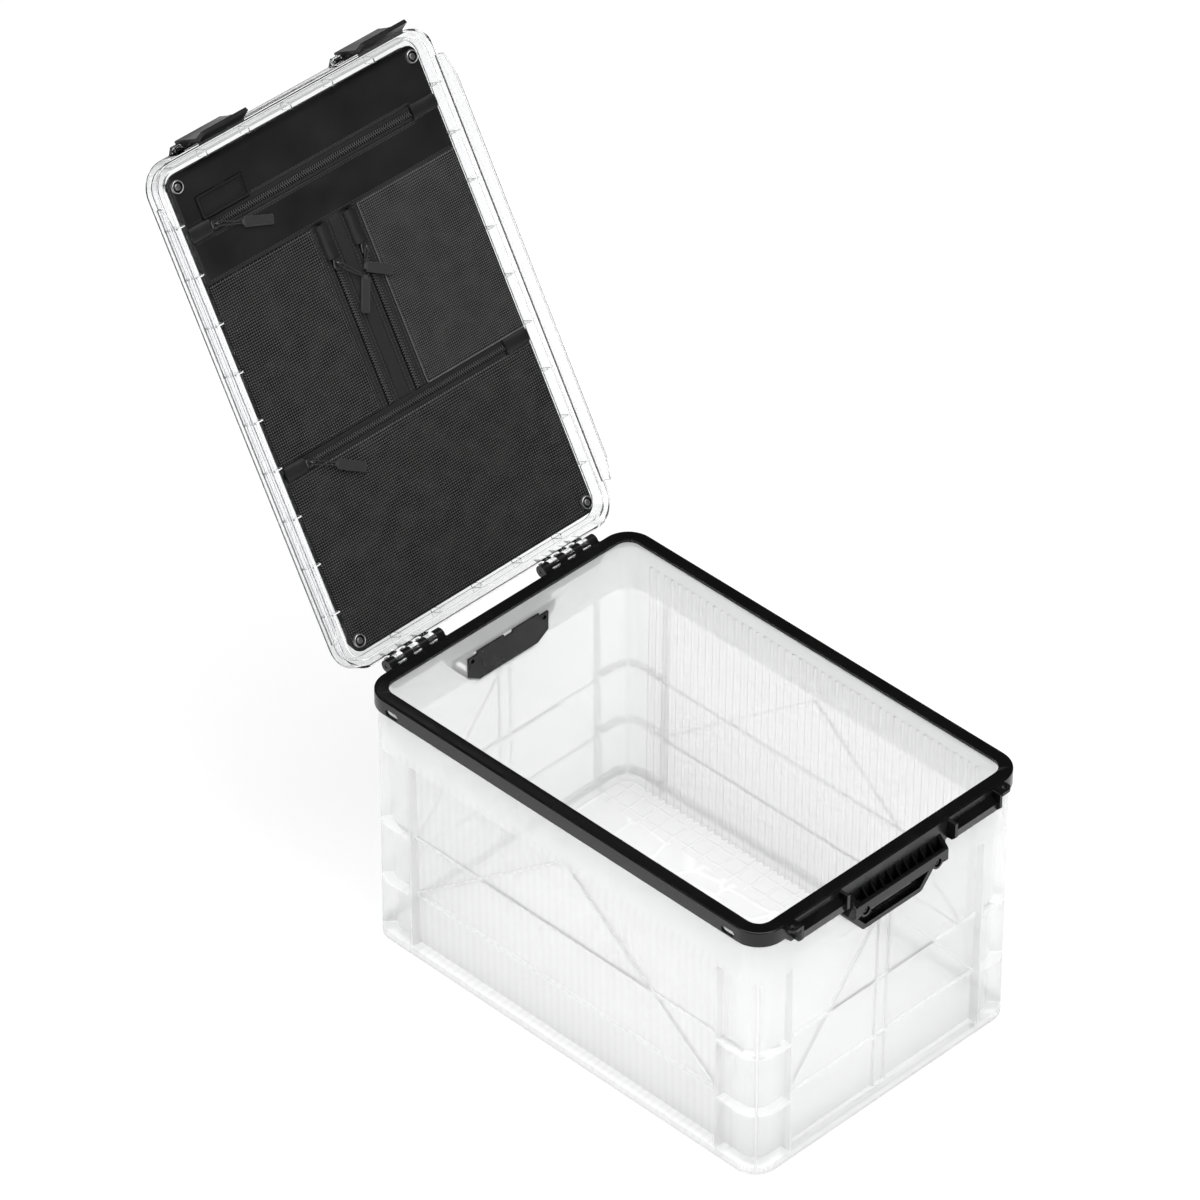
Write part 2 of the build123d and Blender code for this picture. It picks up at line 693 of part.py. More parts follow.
def z_rods(places, radius, low, high):
    """Upright round bars at the given (x, y) places."""
    return [rod((x, y, low), (x, y, high), radius) for x, y in places]


def organizer_board():
    """The stiff board behind the organizer's pockets."""
    board = rounded_block(panel_half_x, panel_half_y, panel_corner, board_low, board_high)
    return board - z_rods(board_screw_places, board_screw_radius + screw_clearance, 0, lid_under)


def pocket_skin(x0, x1, y0, y1):
    """One pocket's outer layer on the board."""
    skin = panel_outline_block(-skin_thickness, 0) & panel_block(x0, x1, y0, y1, -skin_thickness, 1)
    return skin - z_rods(board_screw_places, board_screw_radius + screw_clearance, 0, lid_under)


def zip_strip(start, end, width, coil_start, coil_end):
    """A closed zip: flat tape between two points, with a rounded coil on part of its length."""
    along = (Vector(*end) - Vector(*start)).normalized()
    length = (Vector(*end) - Vector(*start)).length
    plane = Plane(origin=(*start, panel_z), x_dir=Vector(0, 0, -1).cross(along), z_dir=along)
    tape = extrude(plane * Pos(0, -skin_thickness / 2) * Rectangle(width, skin_thickness), amount=length)
    coil = plane.offset(coil_start) * Pos(0, -zip_coil_sink) * Circle(zip_coil_radius)
    return tape + extrude(coil, amount=length - coil_start - coil_end)


def garage(x0, x1, y0, y1):
    """A small flap on the panel's face that covers a zip's end."""
    plan = Pos((x0 + x1) / 2, (y0 + y1) / 2, panel_z) * RectangleRounded(x1 - x0, y1 - y0, garage_corner)
    return extrude(plan, amount=-garage_height)


def zip_slider(x, y, along, toward):
    """A slider on the coil with a small arched bridge that the pull's cord goes through."""
    on_zip = Plane(origin=(x, y, panel_z), x_dir=along, z_dir=(0, 0, -1))
    plate = on_zip.offset(slider_low) * RectangleRounded(slider_length, slider_width, slider_width / 4)
    body = extrude(plate, amount=slider_plate)
    to_pull = Plane(origin=(x, y, panel_z), x_dir=toward, z_dir=(0, 0, -1))
    top = slider_low + slider_plate
    arch = Pos(0, 0, top + bridge_height / 2 - 0.1) * Box(bridge_length, bridge_width, bridge_height + 0.2)
    arch = fillet(arch.edges().filter_by(Axis.Y).group_by(Axis.Z)[-1], bridge_length / 5)
    arch -= Pos(0, 0, pull_pivot) * Box(bridge_hole_length, 2 * bridge_width, bridge_hole_height)
    return body + to_pull.location * arch


def zip_pull(x, y, tab_start, tab_end):
    """A pull: a thin cord loop through the bridge and a flat tab with bare faces."""
    reach = Vector(tab_start[0] - x, tab_start[1] - y, 0)
    across = Vector(-reach.Y, reach.X, 0).normalized() * cord_spread
    level = panel_z - pull_pivot
    eyes = [Vector(x, y, level) + across, Vector(x, y, level) - across]
    middle = tab_lift + tab_thickness / 2
    tab_line = Vector(*tab_end) - Vector(*tab_start)
    knot = Vector(*tab_start, panel_z - middle) + Vector(tab_line.X, tab_line.Y, 0).normalized() * tab_corner
    flat = Plane(origin=(*tab_start, panel_z - tab_lift), x_dir=(tab_line.X, tab_line.Y, 0), z_dir=(0, 0, -1))
    outline = Pos(tab_line.length / 2, 0) * RectangleRounded(tab_line.length, tab_width, tab_corner)
    pull = extrude(flat * outline, amount=tab_thickness)
    pull += rod(eyes[0], eyes[1], cord_radius)
    for eye in eyes:
        pull += rod(eye, knot, cord_radius)
        pull += Pos(*eye) * Sphere(cord_radius)
    return pull


def opened(shape):
    """The shape swung from the closed lid's place to the open one."""
    return shape.rotate(Axis((0, hinge_y, hinge_z), (1, 0, 0)), -lid_open_angle)


def solids_of(parts):
    """Separate solids of one node, kept apart."""
    return parts[0] if len(parts) == 1 else Compound(children=list(parts))


slider_end = slider_length / 2 + seam_gap
garage_edge = panel_half_x - garage_inset
upper_hidden = upper_zip_left + upper_slider_x - slider_end
lower_hidden = panel_half_x + lower_slider_x - slider_end
vertical_top = -leather_edge + seam_gap
vertical_bottom = lower_zip_y - lower_tape / 2 - seam_gap
vertical_hidden = vertical_slider_y - slider_end - vertical_top
zip_lines = {
    "upper_zip": ((-upper_zip_left, -upper_zip_y), (upper_zip_right, -upper_zip_y), upper_tape, upper_hidden, 0),
    "left_zip": ((left_zip_x, vertical_top), (left_zip_x, vertical_bottom), vertical_tape, vertical_hidden, 0),
    "right_zip": ((right_zip_x, vertical_top), (right_zip_x, vertical_bottom), vertical_tape, vertical_hidden, 0),
    "lower_zip": ((-panel_half_x, lower_zip_y), (panel_half_x, lower_zip_y), lower_tape, lower_hidden,
                  panel_half_x + lower_slider_x),
}


def organizer():
    """Every piece on the organizer apart from the sliders and pulls, by name."""
    upper_cut = block(-upper_zip_left - seam_gap, upper_zip_right + seam_gap, -upper_zip_y - upper_tape / 2 - seam_gap,
                      -upper_zip_y + upper_tape / 2 + seam_gap, panel_z - 1, board_low)
    left_edge = left_zip_x - vertical_tape / 2
    right_edge = right_zip_x + vertical_tape / 2
    pieces = {
        "organizer_board": organizer_board(),
        "upper_pocket_panel": pocket_skin(-panel_half_x, panel_half_x, -panel_half_y, -leather_edge) - upper_cut,
        "left_mesh_panel": pocket_skin(-panel_half_x, left_edge - seam_gap, vertical_top, vertical_bottom),
        "right_mesh_panel": pocket_skin(right_edge + piping_width + 2 * seam_gap, panel_half_x, vertical_top, vertical_bottom),
        "centre_strip": pocket_skin(left_zip_x + vertical_tape / 2 + seam_gap,
                                    right_zip_x - vertical_tape / 2 - seam_gap, vertical_top, vertical_bottom),
        "lower_pocket_panel": pocket_skin(-panel_half_x, panel_half_x,
                                          lower_zip_y + lower_tape / 2 + seam_gap, panel_half_y),
        "mesh_piping": panel_block(right_edge + seam_gap, right_edge + seam_gap + piping_width,
                                   vertical_top, vertical_bottom, -skin_thickness, piping_proud),
    }
    for name, line in zip_lines.items():
        pieces[name] = zip_strip(*line)
    flap = garage_width / 2
    for name, x in (("left_zip_garage", left_zip_x), ("right_zip_garage", right_zip_x)):
        pieces[name] = garage(x - flap, x + flap, garage_top, vertical_slider_y - slider_end)
    for name, y, left_end, right_start in (("upper_zip_garages", -upper_zip_y, upper_slider_x, upper_zip_right),
                                           ("lower_zip_garages", lower_zip_y, lower_slider_x, -lower_slider_x)):
        pieces[name] = solids_of([garage(-garage_edge, left_end - slider_end, y - flap, y + flap),
                                  garage(right_start, garage_edge, y - flap, y + flap)])
    patch = Pos(sum(patch_x) / 2, sum(patch_y) / 2, panel_z) * RectangleRounded(
        patch_x[1] - patch_x[0], patch_y[1] - patch_y[0], tab_corner)
    pieces["label_patch"] = extrude(patch, amount=-patch_thickness)
    hole = board_screw_radius + screw_clearance
    low = panel_z - washer_thickness
    washers = z_rods(board_screw_places, washer_radius, low, panel_z)
    pieces["board_washers"] = solids_of([washer - z_rods(board_screw_places, hole, 0, lid_under) for washer in washers])
    screws = []
    for x, y in board_screw_places:
        head = rod((x, y, low - board_screw_head_height), (x, y, low), board_screw_head)
        shank = rod((x, y, low), (x, y, lid_under - 1), board_screw_radius)
        recess = rod((x, y, 0), (x, y, low - board_screw_head_height + screw_driver_depth), screw_driver_radius)
        screws.append(head + shank - recess)
    pieces["board_screws"] = solids_of(screws)
    return pieces


sliders = {
    "upper": (upper_slider_x, -upper_zip_y, (1, 0, 0), (-82.2, -147.3), (-55.0, -137.5)),
    "left": (left_zip_x, vertical_slider_y, (0, 1, 0), (6.4, -58.6), (-6.6, -33.4)),
    "right": (right_zip_x, vertical_slider_y, (0, 1, 0), (10.6, -66.4), (33.6, -53.0)),
    "lower": (lower_slider_x, lower_zip_y, (1, 0, 0), (-85.2, 62.2), (-60.6, 76.6)),
}


def lid_pieces():
    """Everything that swings with the lid, by name and in the closed place."""
    pieces = {"lid_shell": lid_shell()}
    pieces.update(organizer())
    pieces["latch_left"] = latch(-1)
    pieces["latch_right"] = latch(1)
    for name, (x, y, along, tab_start, tab_end) in sliders.items():
        toward = (tab_start[0] - x, tab_start[1] - y, 0)
        pieces[name + "_slider"] = zip_slider(x, y, along, toward)
        pieces[name + "_pull"] = zip_pull(x, y, tab_start, tab_end)
    return pieces


def crate_pieces():
    """Everything that stays with the crate, by name."""
    cover = grip_cover()
    screws = grip_screw_set()
    return {
        "crate_body": crate_body(),
        "rim_frame": rim_frame(),
        "front_grip_cover": cover,
        "rear_grip_cover": Rot(0, 0, 180) * cover,
        "grip_screws": solids_of(screws + [Rot(0, 0, 180) * screw for screw in screws]),
        "hinge_pin_left": hinge_pin(-hinge_group_x),
        "hinge_pin_right": hinge_pin(hinge_group_x),
    }


os.makedirs("parts", exist_ok=True)
for name, piece in crate_pieces().items():
    export_step(piece, f"parts/{name}.step")
for name, piece in lid_pieces().items():
    export_step(opened(piece), f"parts/{name}.step")
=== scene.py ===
import bmesh
import bpy
import json
import math
from mathutils import Matrix, Vector


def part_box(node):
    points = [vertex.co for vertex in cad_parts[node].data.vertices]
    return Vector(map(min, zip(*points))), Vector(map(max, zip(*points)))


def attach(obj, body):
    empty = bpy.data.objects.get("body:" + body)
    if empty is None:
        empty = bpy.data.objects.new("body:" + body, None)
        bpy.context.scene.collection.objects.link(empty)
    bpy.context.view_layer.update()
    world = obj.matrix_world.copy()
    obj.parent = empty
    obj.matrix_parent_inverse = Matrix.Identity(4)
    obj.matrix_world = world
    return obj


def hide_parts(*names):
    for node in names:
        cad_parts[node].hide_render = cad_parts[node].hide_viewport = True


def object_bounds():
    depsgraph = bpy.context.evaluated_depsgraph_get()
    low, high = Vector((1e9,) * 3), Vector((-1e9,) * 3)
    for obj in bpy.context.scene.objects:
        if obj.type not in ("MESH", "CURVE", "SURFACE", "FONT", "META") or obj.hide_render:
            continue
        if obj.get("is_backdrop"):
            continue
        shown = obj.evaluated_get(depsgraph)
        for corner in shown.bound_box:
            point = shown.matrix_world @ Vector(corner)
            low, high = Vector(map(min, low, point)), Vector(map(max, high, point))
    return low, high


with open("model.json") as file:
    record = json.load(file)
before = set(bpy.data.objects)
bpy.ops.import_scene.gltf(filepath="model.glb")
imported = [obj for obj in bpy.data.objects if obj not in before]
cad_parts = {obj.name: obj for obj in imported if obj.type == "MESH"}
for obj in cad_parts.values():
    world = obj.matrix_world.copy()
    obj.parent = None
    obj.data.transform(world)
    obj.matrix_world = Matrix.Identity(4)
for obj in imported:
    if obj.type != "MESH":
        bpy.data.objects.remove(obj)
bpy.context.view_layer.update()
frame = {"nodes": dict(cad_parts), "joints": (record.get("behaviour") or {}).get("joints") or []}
print("crate: frame loaded")

mm = 0.001

pinLow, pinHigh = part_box("hinge_pin_left")
hingeLine = (pinLow + pinHigh) / 2
hingeLine.x = 0
lidHinge = next(joint for joint in frame["joints"] if joint["name"] == "lid_hinge")
pocketFace = 255.57 * mm  # height of the pockets' face with the lid closed
swing = (Matrix.Translation(hingeLine) @ Matrix.Rotation(-math.radians(lidHinge["range_deg"][1]), 4, "X")
         @ Matrix.Translation(-hingeLine))
# the organizer's own axes: X across, Y up to the lid's free edge, Z out of the pockets, in millimetres
onLid = swing @ Matrix.Translation((0, 0, pocketFace)) @ Matrix.Rotation(math.pi, 4, "X") @ Matrix.Scale(mm, 4)


def addNode(tree, kind, **settings):
    made = tree.nodes.new("ShaderNode" + kind)
    for key, value in settings.items():
        setattr(made, key, value)
    return made


def plug(tree, value, socket):
    if hasattr(value, "is_output"):
        tree.links.new(value, socket)
    else:
        socket.default_value = value


def calc(tree, operation, *values):
    made = addNode(tree, "Math", operation=operation)
    for index, value in enumerate(values):
        plug(tree, value, made.inputs[index])
    return made.outputs[0]


def newFinish(name, **sockets):
    material = bpy.data.materials.new(name)
    material.use_nodes = True
    shader = material.node_tree.nodes["Principled BSDF"]
    for key, value in sockets.items():
        shader.inputs[key.replace("_", " ")].default_value = value
    return material, material.node_tree, shader


def clouds(tree, coords, scale, detail=2.0):
    made = addNode(tree, "TexNoise")
    made.inputs["Scale"].default_value = scale
    made.inputs["Detail"].default_value = detail
    tree.links.new(coords, made.inputs["Vector"])
    return made.outputs["Fac"]


def pebbles(tree, coords, scale, feature="F1"):
    made = addNode(tree, "TexVoronoi", feature=feature)
    made.inputs["Scale"].default_value = scale
    tree.links.new(coords, made.inputs["Vector"])
    return made.outputs["Distance"]


def spread(tree, value, low, high, start=0.0, end=1.0):
    made = addNode(tree, "MapRange")
    for socket, number in (("From Min", start), ("From Max", end), ("To Min", low), ("To Max", high)):
        made.inputs[socket].default_value = number
    tree.links.new(value, made.inputs["Value"])
    return made.outputs["Result"]


def blendTone(tree, factor, first, second):
    made = addNode(tree, "Mix", data_type="RGBA")
    tree.links.new(factor, made.inputs[0])
    plug(tree, first, made.inputs[6])
    plug(tree, second, made.inputs[7])
    return made.outputs[2]


def dimple(tree, shader, height, distance, under=None):
    made = addNode(tree, "Bump")
    made.inputs["Distance"].default_value = distance
    tree.links.new(height, made.inputs["Height"])
    if under is not None:
        tree.links.new(under, made.inputs["Normal"])
    tree.links.new(made.outputs["Normal"], shader.inputs["Normal"])
    return made.outputs["Normal"]


def rawCoords(tree):
    return addNode(tree, "TexCoord").outputs["Object"]


def axes(tree, coords):
    split = addNode(tree, "SeparateXYZ")
    tree.links.new(coords, split.inputs[0])
    return split.outputs


def clothCoords(tree):
    coords = addNode(tree, "UVMap", uv_map="cloth").outputs["UV"]
    across, along = axes(tree, coords)[:2]
    return coords, across, along


def grey(value):
    return (value, value, value, 1)


blackSettings = {"rubScale": 32, "rubRange": (0.3, 0.7), "rougher": 0.08, "smoother": 0.06, "dark": 0.8,
                 "light": 1.25, "edgeWearAndHighlightRange": (0.52, 0.62), "edgeWearAndHighlightShare": 2, "edgeWearAndHighlightTone": 0.02, "flowScale": 90,
                 "flowShare": 0.6}


def mouldedBlack(name, tone, roughness, grain, depth, gloss=0.3):
    # black moulded plastic: a fine eroded grain, smoother patches where hands rub it, and paler convex edges that are
    # partly wear and partly a painted highlight
    s = blackSettings
    material, tree, shader = newFinish(name, Specular_IOR_Level=gloss)
    coords = rawCoords(tree)
    rubbed = clouds(tree, coords, s["rubScale"], 4)
    tree.links.new(spread(tree, rubbed, roughness + s["rougher"], roughness - s["smoother"], *s["rubRange"]),
                   shader.inputs["Roughness"])
    plain = blendTone(tree, rubbed, grey(tone * s["dark"]), grey(tone * s["light"]))
    # paler convex edges: partly edge wear, partly a painted highlight standing for light caught on the fillets
    worn = spread(tree, addNode(tree, "NewGeometry").outputs["Pointiness"], 0, 1, *s["edgeWearAndHighlightRange"])
    tree.links.new(blendTone(tree, calc(tree, "MULTIPLY", worn, rubbed), plain,
                             grey(tone * s["edgeWearAndHighlightShare"] + s["edgeWearAndHighlightTone"])), shader.inputs["Base Color"])
    flow = dimple(tree, shader, clouds(tree, coords, s["flowScale"], 2), depth * s["flowShare"])
    dimple(tree, shader, clouds(tree, coords, grain, 3), depth, flow)
    return material


frostSettings = {"tone": (0.97, 0.97388, 0.97582, 1), "slotShadeTone": 0.915, "floorTone": 0.76, "ridgeTone": 0.88,
                 "cover": 0.36, "cloudScale": 9, "cloudRange": (0.3, 0.7), "roughness": (0.3, 0.42),
                 "floorAt": 0.0015, "floorReach": (0.0014, 0.0018), "square": 0.0175, "squareFrom": 0.098,
                 "squareLine": (0.06, 0.3),
                 "cellScale": 34, "cellLine": (0.02, 0.1), "emboss": 0.0009, "grainScale": 260, "grain": 0.00005,
                 "slotPitch": 0.008, "slotFrom": 0.112, "slotEnd": 0.184, "slotTop": 0.205, "slotFade": 0.004,
                 "slotEdge": (0.35, 0.85)}


def waveAlong(tree, coord, pitch, operation):
    # runs from 0 to 1 and back once each pitch
    return calc(tree, "ABSOLUTE", calc(tree, operation, calc(tree, "MULTIPLY", coord, math.pi / pitch)))


def frostedPlastic():
    # milky clear plastic; the crate's floor carries embossed squares along the long walls and curved cells between
    s = frostSettings
    material, tree, shader = newFinish("frostedPlastic", Alpha=s["cover"], Specular_IOR_Level=0.4)
    coords = rawCoords(tree)
    x, y, z = axes(tree, coords)
    outward = calc(tree, "ABSOLUTE", x)
    tree.links.new(spread(tree, clouds(tree, coords, s["cloudScale"], 3), *s["roughness"], *s["cloudRange"]),
                   shader.inputs["Roughness"])
    # painted shade: soft darker stripes on the long walls where the divider slots behind them show through the milky
    # plastic
    wave = waveAlong(tree, y, s["slotPitch"], "COSINE")
    along = calc(tree, "LESS_THAN", calc(tree, "ABSOLUTE", y), s["slotEnd"])
    onWall = calc(tree, "MULTIPLY", calc(tree, "GREATER_THAN", outward, s["slotFrom"]),
                  spread(tree, z, 1, 0, s["slotTop"] - s["slotFade"], s["slotTop"]))
    slotShade = calc(tree, "MULTIPLY", spread(tree, wave, 1, 0, *s["slotEdge"]), calc(tree, "MULTIPLY", along, onWall))
    onFloor = spread(tree, calc(tree, "ABSOLUTE", calc(tree, "SUBTRACT", z, s["floorAt"])), 1, 0, *s["floorReach"])
    lines = calc(tree, "MINIMUM", waveAlong(tree, x, s["square"], "SINE"), waveAlong(tree, y, s["square"], "SINE"))
    squares = spread(tree, lines, 0, 1, *s["squareLine"])
    curved = spread(tree, pebbles(tree, coords, s["cellScale"], "DISTANCE_TO_EDGE"), 0, 1, *s["cellLine"])
    outer = calc(tree, "GREATER_THAN", outward, s["squareFrom"])
    cells = calc(tree, "ADD", calc(tree, "MULTIPLY", squares, outer),
                 calc(tree, "MULTIPLY", curved, calc(tree, "SUBTRACT", 1.0, outer)))
    ridge = calc(tree, "MULTIPLY", calc(tree, "SUBTRACT", 1.0, cells), onFloor)
    floorTone = blendTone(tree, ridge, grey(s["floorTone"]), grey(s["ridgeTone"]))
    wallTone = blendTone(tree, slotShade, s["tone"], grey(s["slotShadeTone"]))
    tree.links.new(blendTone(tree, onFloor, wallTone, floorTone), shader.inputs["Base Color"])
    grain = dimple(tree, shader, clouds(tree, coords, s["grainScale"], 2), s["grain"])
    dimple(tree, shader, ridge, s["emboss"], grain)
    return material


clearSettings = {"tone": (0.975, 0.98, 0.982, 1), "bend": 1.42, "hazeScale": 14, "haze": 0.03, "waveScale": 25,
                 "wave": 0.00002}


def clearPlastic():
    s = clearSettings
    material, tree, shader = newFinish("clearPlastic", Base_Color=s["tone"], IOR=s["bend"], Transmission_Weight=1.0,
                                       Specular_IOR_Level=0.5)
    coords = rawCoords(tree)
    tree.links.new(spread(tree, clouds(tree, coords, s["hazeScale"], 2), 0.0, s["haze"]), shader.inputs["Roughness"])
    dimple(tree, shader, clouds(tree, coords, s["waveScale"], 1), s["wave"])
    return material


metalSettings = {"brushScale": 900, "smoother": 0.08, "rougher": 0.1, "brush": 0.00001, "spotScale": 240, "dark": 0.75,
                 "light": 1.3}


def metalFinish(name, tone, roughness):
    s = metalSettings
    material, tree, shader = newFinish(name, Metallic=0.9)
    coords = rawCoords(tree)
    brushed = clouds(tree, coords, s["brushScale"], 2)
    tree.links.new(spread(tree, brushed, roughness - s["smoother"], roughness + s["rougher"]),
                   shader.inputs["Roughness"])
    spots = clouds(tree, coords, s["spotScale"], 2)
    tree.links.new(blendTone(tree, spots, grey(tone * s["dark"]), grey(tone * s["light"])), shader.inputs["Base Color"])
    dimple(tree, shader, brushed, s["brush"])
    return material


# scales of the cloth finishes are per millimetre, because their UV map is in millimetres
leatherSettings = {"cloudScale": 0.016, "cloudRange": (0.3, 0.7), "lidShadeFrom": 201, "lidShadeTo": 206.5,
                   "lidShadeShare": 0.35, "lidShadeTone": 0.1, "gloss": 0.33, "dark": 0.8, "light": 1.25, "vary": 0.08,
                   "pebbleScale": 1.5, "creaseScale": 4.5, "creaseShare": 1.4}


def leatherFinish(name, tone, roughness, depth, sheen):
    # smooth coated fabric: small pebbles, finer creases over them, a soft sheen and painted shade along its top edge
    s = leatherSettings
    material, tree, shader = newFinish(name, Sheen_Weight=sheen, Sheen_Roughness=0.45)
    coords, across, along = clothCoords(tree)
    soft = spread(tree, clouds(tree, coords, s["cloudScale"], 3), 0, 1, *s["cloudRange"])
    # painted shade: near the top edge the leather turns darker and loses its gloss, standing for the shade cast by the
    # lid's wall
    hidden = spread(tree, along, 1, s["lidShadeShare"], s["lidShadeFrom"], s["lidShadeTo"])
    worn = blendTone(tree, soft, grey(tone * s["dark"]), grey(tone * s["light"]))
    tree.links.new(blendTone(tree, hidden, grey(tone * s["lidShadeTone"]), worn), shader.inputs["Base Color"])
    tree.links.new(calc(tree, "MULTIPLY", hidden, s["gloss"]), shader.inputs["Specular IOR Level"])
    tree.links.new(spread(tree, soft, roughness - s["vary"], roughness + s["vary"]), shader.inputs["Roughness"])
    grain = dimple(tree, shader, pebbles(tree, coords, s["pebbleScale"]), depth)
    dimple(tree, shader, clouds(tree, coords, s["creaseScale"], 3), depth * s["creaseShare"], grain)
    return material


weaveSettings = {"litRange": (0.45, 1.0), "fadeScale": 0.05, "fadeEnd": 0.22, "fade": (0.4, 0.7), "fadeMix": 0.4,
                 "roughness": (0.85, 0.6), "fibreScale": 6, "fibre": 0.00004}


def plainWeave(name, pitch, dark, light, depth, sheen=0.15):
    # yarns over and under each other, with a dark gap at each corner
    s = weaveSettings
    material, tree, shader = newFinish(name, Specular_IOR_Level=0.12, Sheen_Weight=sheen, Sheen_Roughness=0.4)
    coords, across, along = clothCoords(tree)
    warp = calc(tree, "COSINE", calc(tree, "MULTIPLY", across, math.pi / pitch))
    weft = calc(tree, "COSINE", calc(tree, "MULTIPLY", along, math.pi / pitch))
    over = spread(tree, calc(tree, "MULTIPLY", warp, weft), 0, 1, -1, 1)
    warpTop = calc(tree, "MULTIPLY", calc(tree, "ABSOLUTE", warp), over)
    weftTop = calc(tree, "MULTIPLY", calc(tree, "ABSOLUTE", weft), calc(tree, "SUBTRACT", 1.0, over))
    yarn = calc(tree, "MAXIMUM", warpTop, weftTop)
    # painted shade: each yarn is lighter on its crown and darker down its flanks; the dark gaps at the corners are the
    # weave's openings
    tone = blendTone(tree, spread(tree, yarn, 0, 1, *s["litRange"]), grey(dark), grey(light))
    fade = spread(tree, clouds(tree, coords, s["fadeScale"], 4), 0, s["fadeEnd"], *s["fade"])
    faded = grey(dark * s["fadeMix"] + light * (1 - s["fadeMix"]))
    tree.links.new(blendTone(tree, fade, tone, faded), shader.inputs["Base Color"])
    tree.links.new(spread(tree, yarn, *s["roughness"]), shader.inputs["Roughness"])
    fibre = dimple(tree, shader, clouds(tree, coords, s["fibreScale"], 2), s["fibre"])
    dimple(tree, shader, yarn, depth, fibre)
    return material


tapeSettings = {"slant": 0.8, "rowPitch": 0.75, "columnPitch": 1.6, "rowShare": 0.65, "tones": (0.003, 0.02),
                "underTeethShadeTone": 0.0005, "underTeethShadeEdge": 0.5, "gloss": 0.2, "ribs": 0.0001}


def ribbedTape(name, bare):
    # zip tape: a tight herringbone of ribs across its length, with painted shade under the teeth that makes the tape
    # there plain, near black and without gloss
    s = tapeSettings
    material, tree, shader = newFinish(name, Roughness=0.68, Sheen_Weight=0.06)
    coords, across, along = clothCoords(tree)
    slant = calc(tree, "ADD", along, calc(tree, "PINGPONG", across, s["slant"]))
    rows = calc(tree, "SINE", calc(tree, "MULTIPLY", slant, math.tau / s["rowPitch"]))
    columns = calc(tree, "SINE", calc(tree, "MULTIPLY", across, math.tau / s["columnPitch"]))
    ribs = calc(tree, "ADD", calc(tree, "MULTIPLY", rows, s["rowShare"]),
                calc(tree, "MULTIPLY", columns, 1 - s["rowShare"]))
    rib = spread(tree, ribs, 0, 1, -1, 1)
    dark, light = s["tones"]
    # painted shade under the teeth: the tape turns plain and near black there, and loses its gloss
    away = spread(tree, calc(tree, "ABSOLUTE", across), 0, 1, bare - s["underTeethShadeEdge"], bare)
    woven = blendTone(tree, rib, grey(dark), grey(light))
    tree.links.new(blendTone(tree, away, grey(s["underTeethShadeTone"]), woven), shader.inputs["Base Color"])
    tree.links.new(spread(tree, away, 0.0, s["gloss"]), shader.inputs["Specular IOR Level"])
    dimple(tree, shader, rib, s["ribs"])
    return material


cordSettings = {"strandScale": 2600, "tones": (0.003, 0.018), "strands": 0.0001}


def braidedCord():
    s = cordSettings
    material, tree, shader = newFinish("cordBraid", Roughness=0.6, Sheen_Weight=0.05)
    strands = clouds(tree, rawCoords(tree), s["strandScale"], 1)
    dark, light = s["tones"]
    tree.links.new(blendTone(tree, strands, grey(dark), grey(light)), shader.inputs["Base Color"])
    dimple(tree, shader, strands, s["strands"])
    return material


finish = {
    "rim": mouldedBlack("rimPlastic", tone=0.002, roughness=0.24, grain=1500, depth=0.00001, gloss=0.32),
    "latch": mouldedBlack("latchPlastic", tone=0.003, roughness=0.3, grain=1700, depth=0.00002, gloss=0.25),
    "frosted": frostedPlastic(),
    "clear": clearPlastic(),
    "metal": metalFinish("darkMetal", tone=0.09, roughness=0.3),
    "washer": metalFinish("washerMetal", tone=0.35, roughness=0.35),
    "shadedBowl": metalFinish("washerBowlShade", tone=0.015, roughness=0.5),
    "screw": metalFinish("screwMetal", tone=0.25, roughness=0.35),
    # painted shade: a much darker copy of the washer metal, for the recess of the washer's bowl
    "board": mouldedBlack("boardCovering", tone=0.008, roughness=0.6, grain=800, depth=0.00006),
    "leather": leatherFinish("smoothLeather", tone=0.006, roughness=0.4, depth=0.00003, sheen=0.03),
    # painted shadow: a matt near-black finish for the band round the label patch
    "edge": mouldedBlack("patchPaintedShadow", tone=0.0006, roughness=0.9, grain=900, depth=0.00002, gloss=0.0),
    "flap": leatherFinish("flapLeather", tone=0.005, roughness=0.5, depth=0.00002, sheen=0.02),
    "coarse": plainWeave("coarseWeave", pitch=2.22, dark=0.0, light=0.098, depth=0.0009, sheen=0.02),
    "fine": plainWeave("fineMesh", pitch=2.0, dark=0.003, light=0.112, depth=0.0006, sheen=0.03),
    "tape": ribbedTape("zipTape", bare=2.6),
    "strip": ribbedTape("stripTape", bare=0.0),
    "teeth": mouldedBlack("zipTeeth", tone=0.024, roughness=0.4, grain=2500, depth=0.00002, gloss=0.35),
    "rubber": mouldedBlack("pullRubber", tone=0.022, roughness=0.5, grain=1800, depth=0.00004),
    "cord": braidedCord(),
    "piping": plainWeave("pipingBraid", pitch=0.9, dark=0.06, light=0.22, depth=0.0001),
    "thread": mouldedBlack("sewingThread", tone=0.03, roughness=0.5, grain=3000, depth=0.00003),
}
print("crate: finishes mixed")


def linkNew(name, data):
    made = bpy.data.objects.new(name, data)
    bpy.context.scene.collection.objects.link(made)
    return made


def makePiece(name, shape, body, material, nodes=(), smooth=40, place=None, second=None):
    if place is not None:
        bmesh.ops.transform(shape, matrix=place, verts=shape.verts)
    mesh = bpy.data.meshes.new(name)
    shape.to_mesh(mesh)
    shape.free()
    piece = linkNew(name, mesh)
    mesh.materials.append(material)
    if second is not None:
        mesh.materials.append(second)
    mesh.polygons.foreach_set("use_smooth", [True] * len(mesh.polygons))
    mesh.set_sharp_from_angle(angle=math.radians(smooth))
    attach(piece, body)
    if nodes:
        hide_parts(*nodes)
    return piece


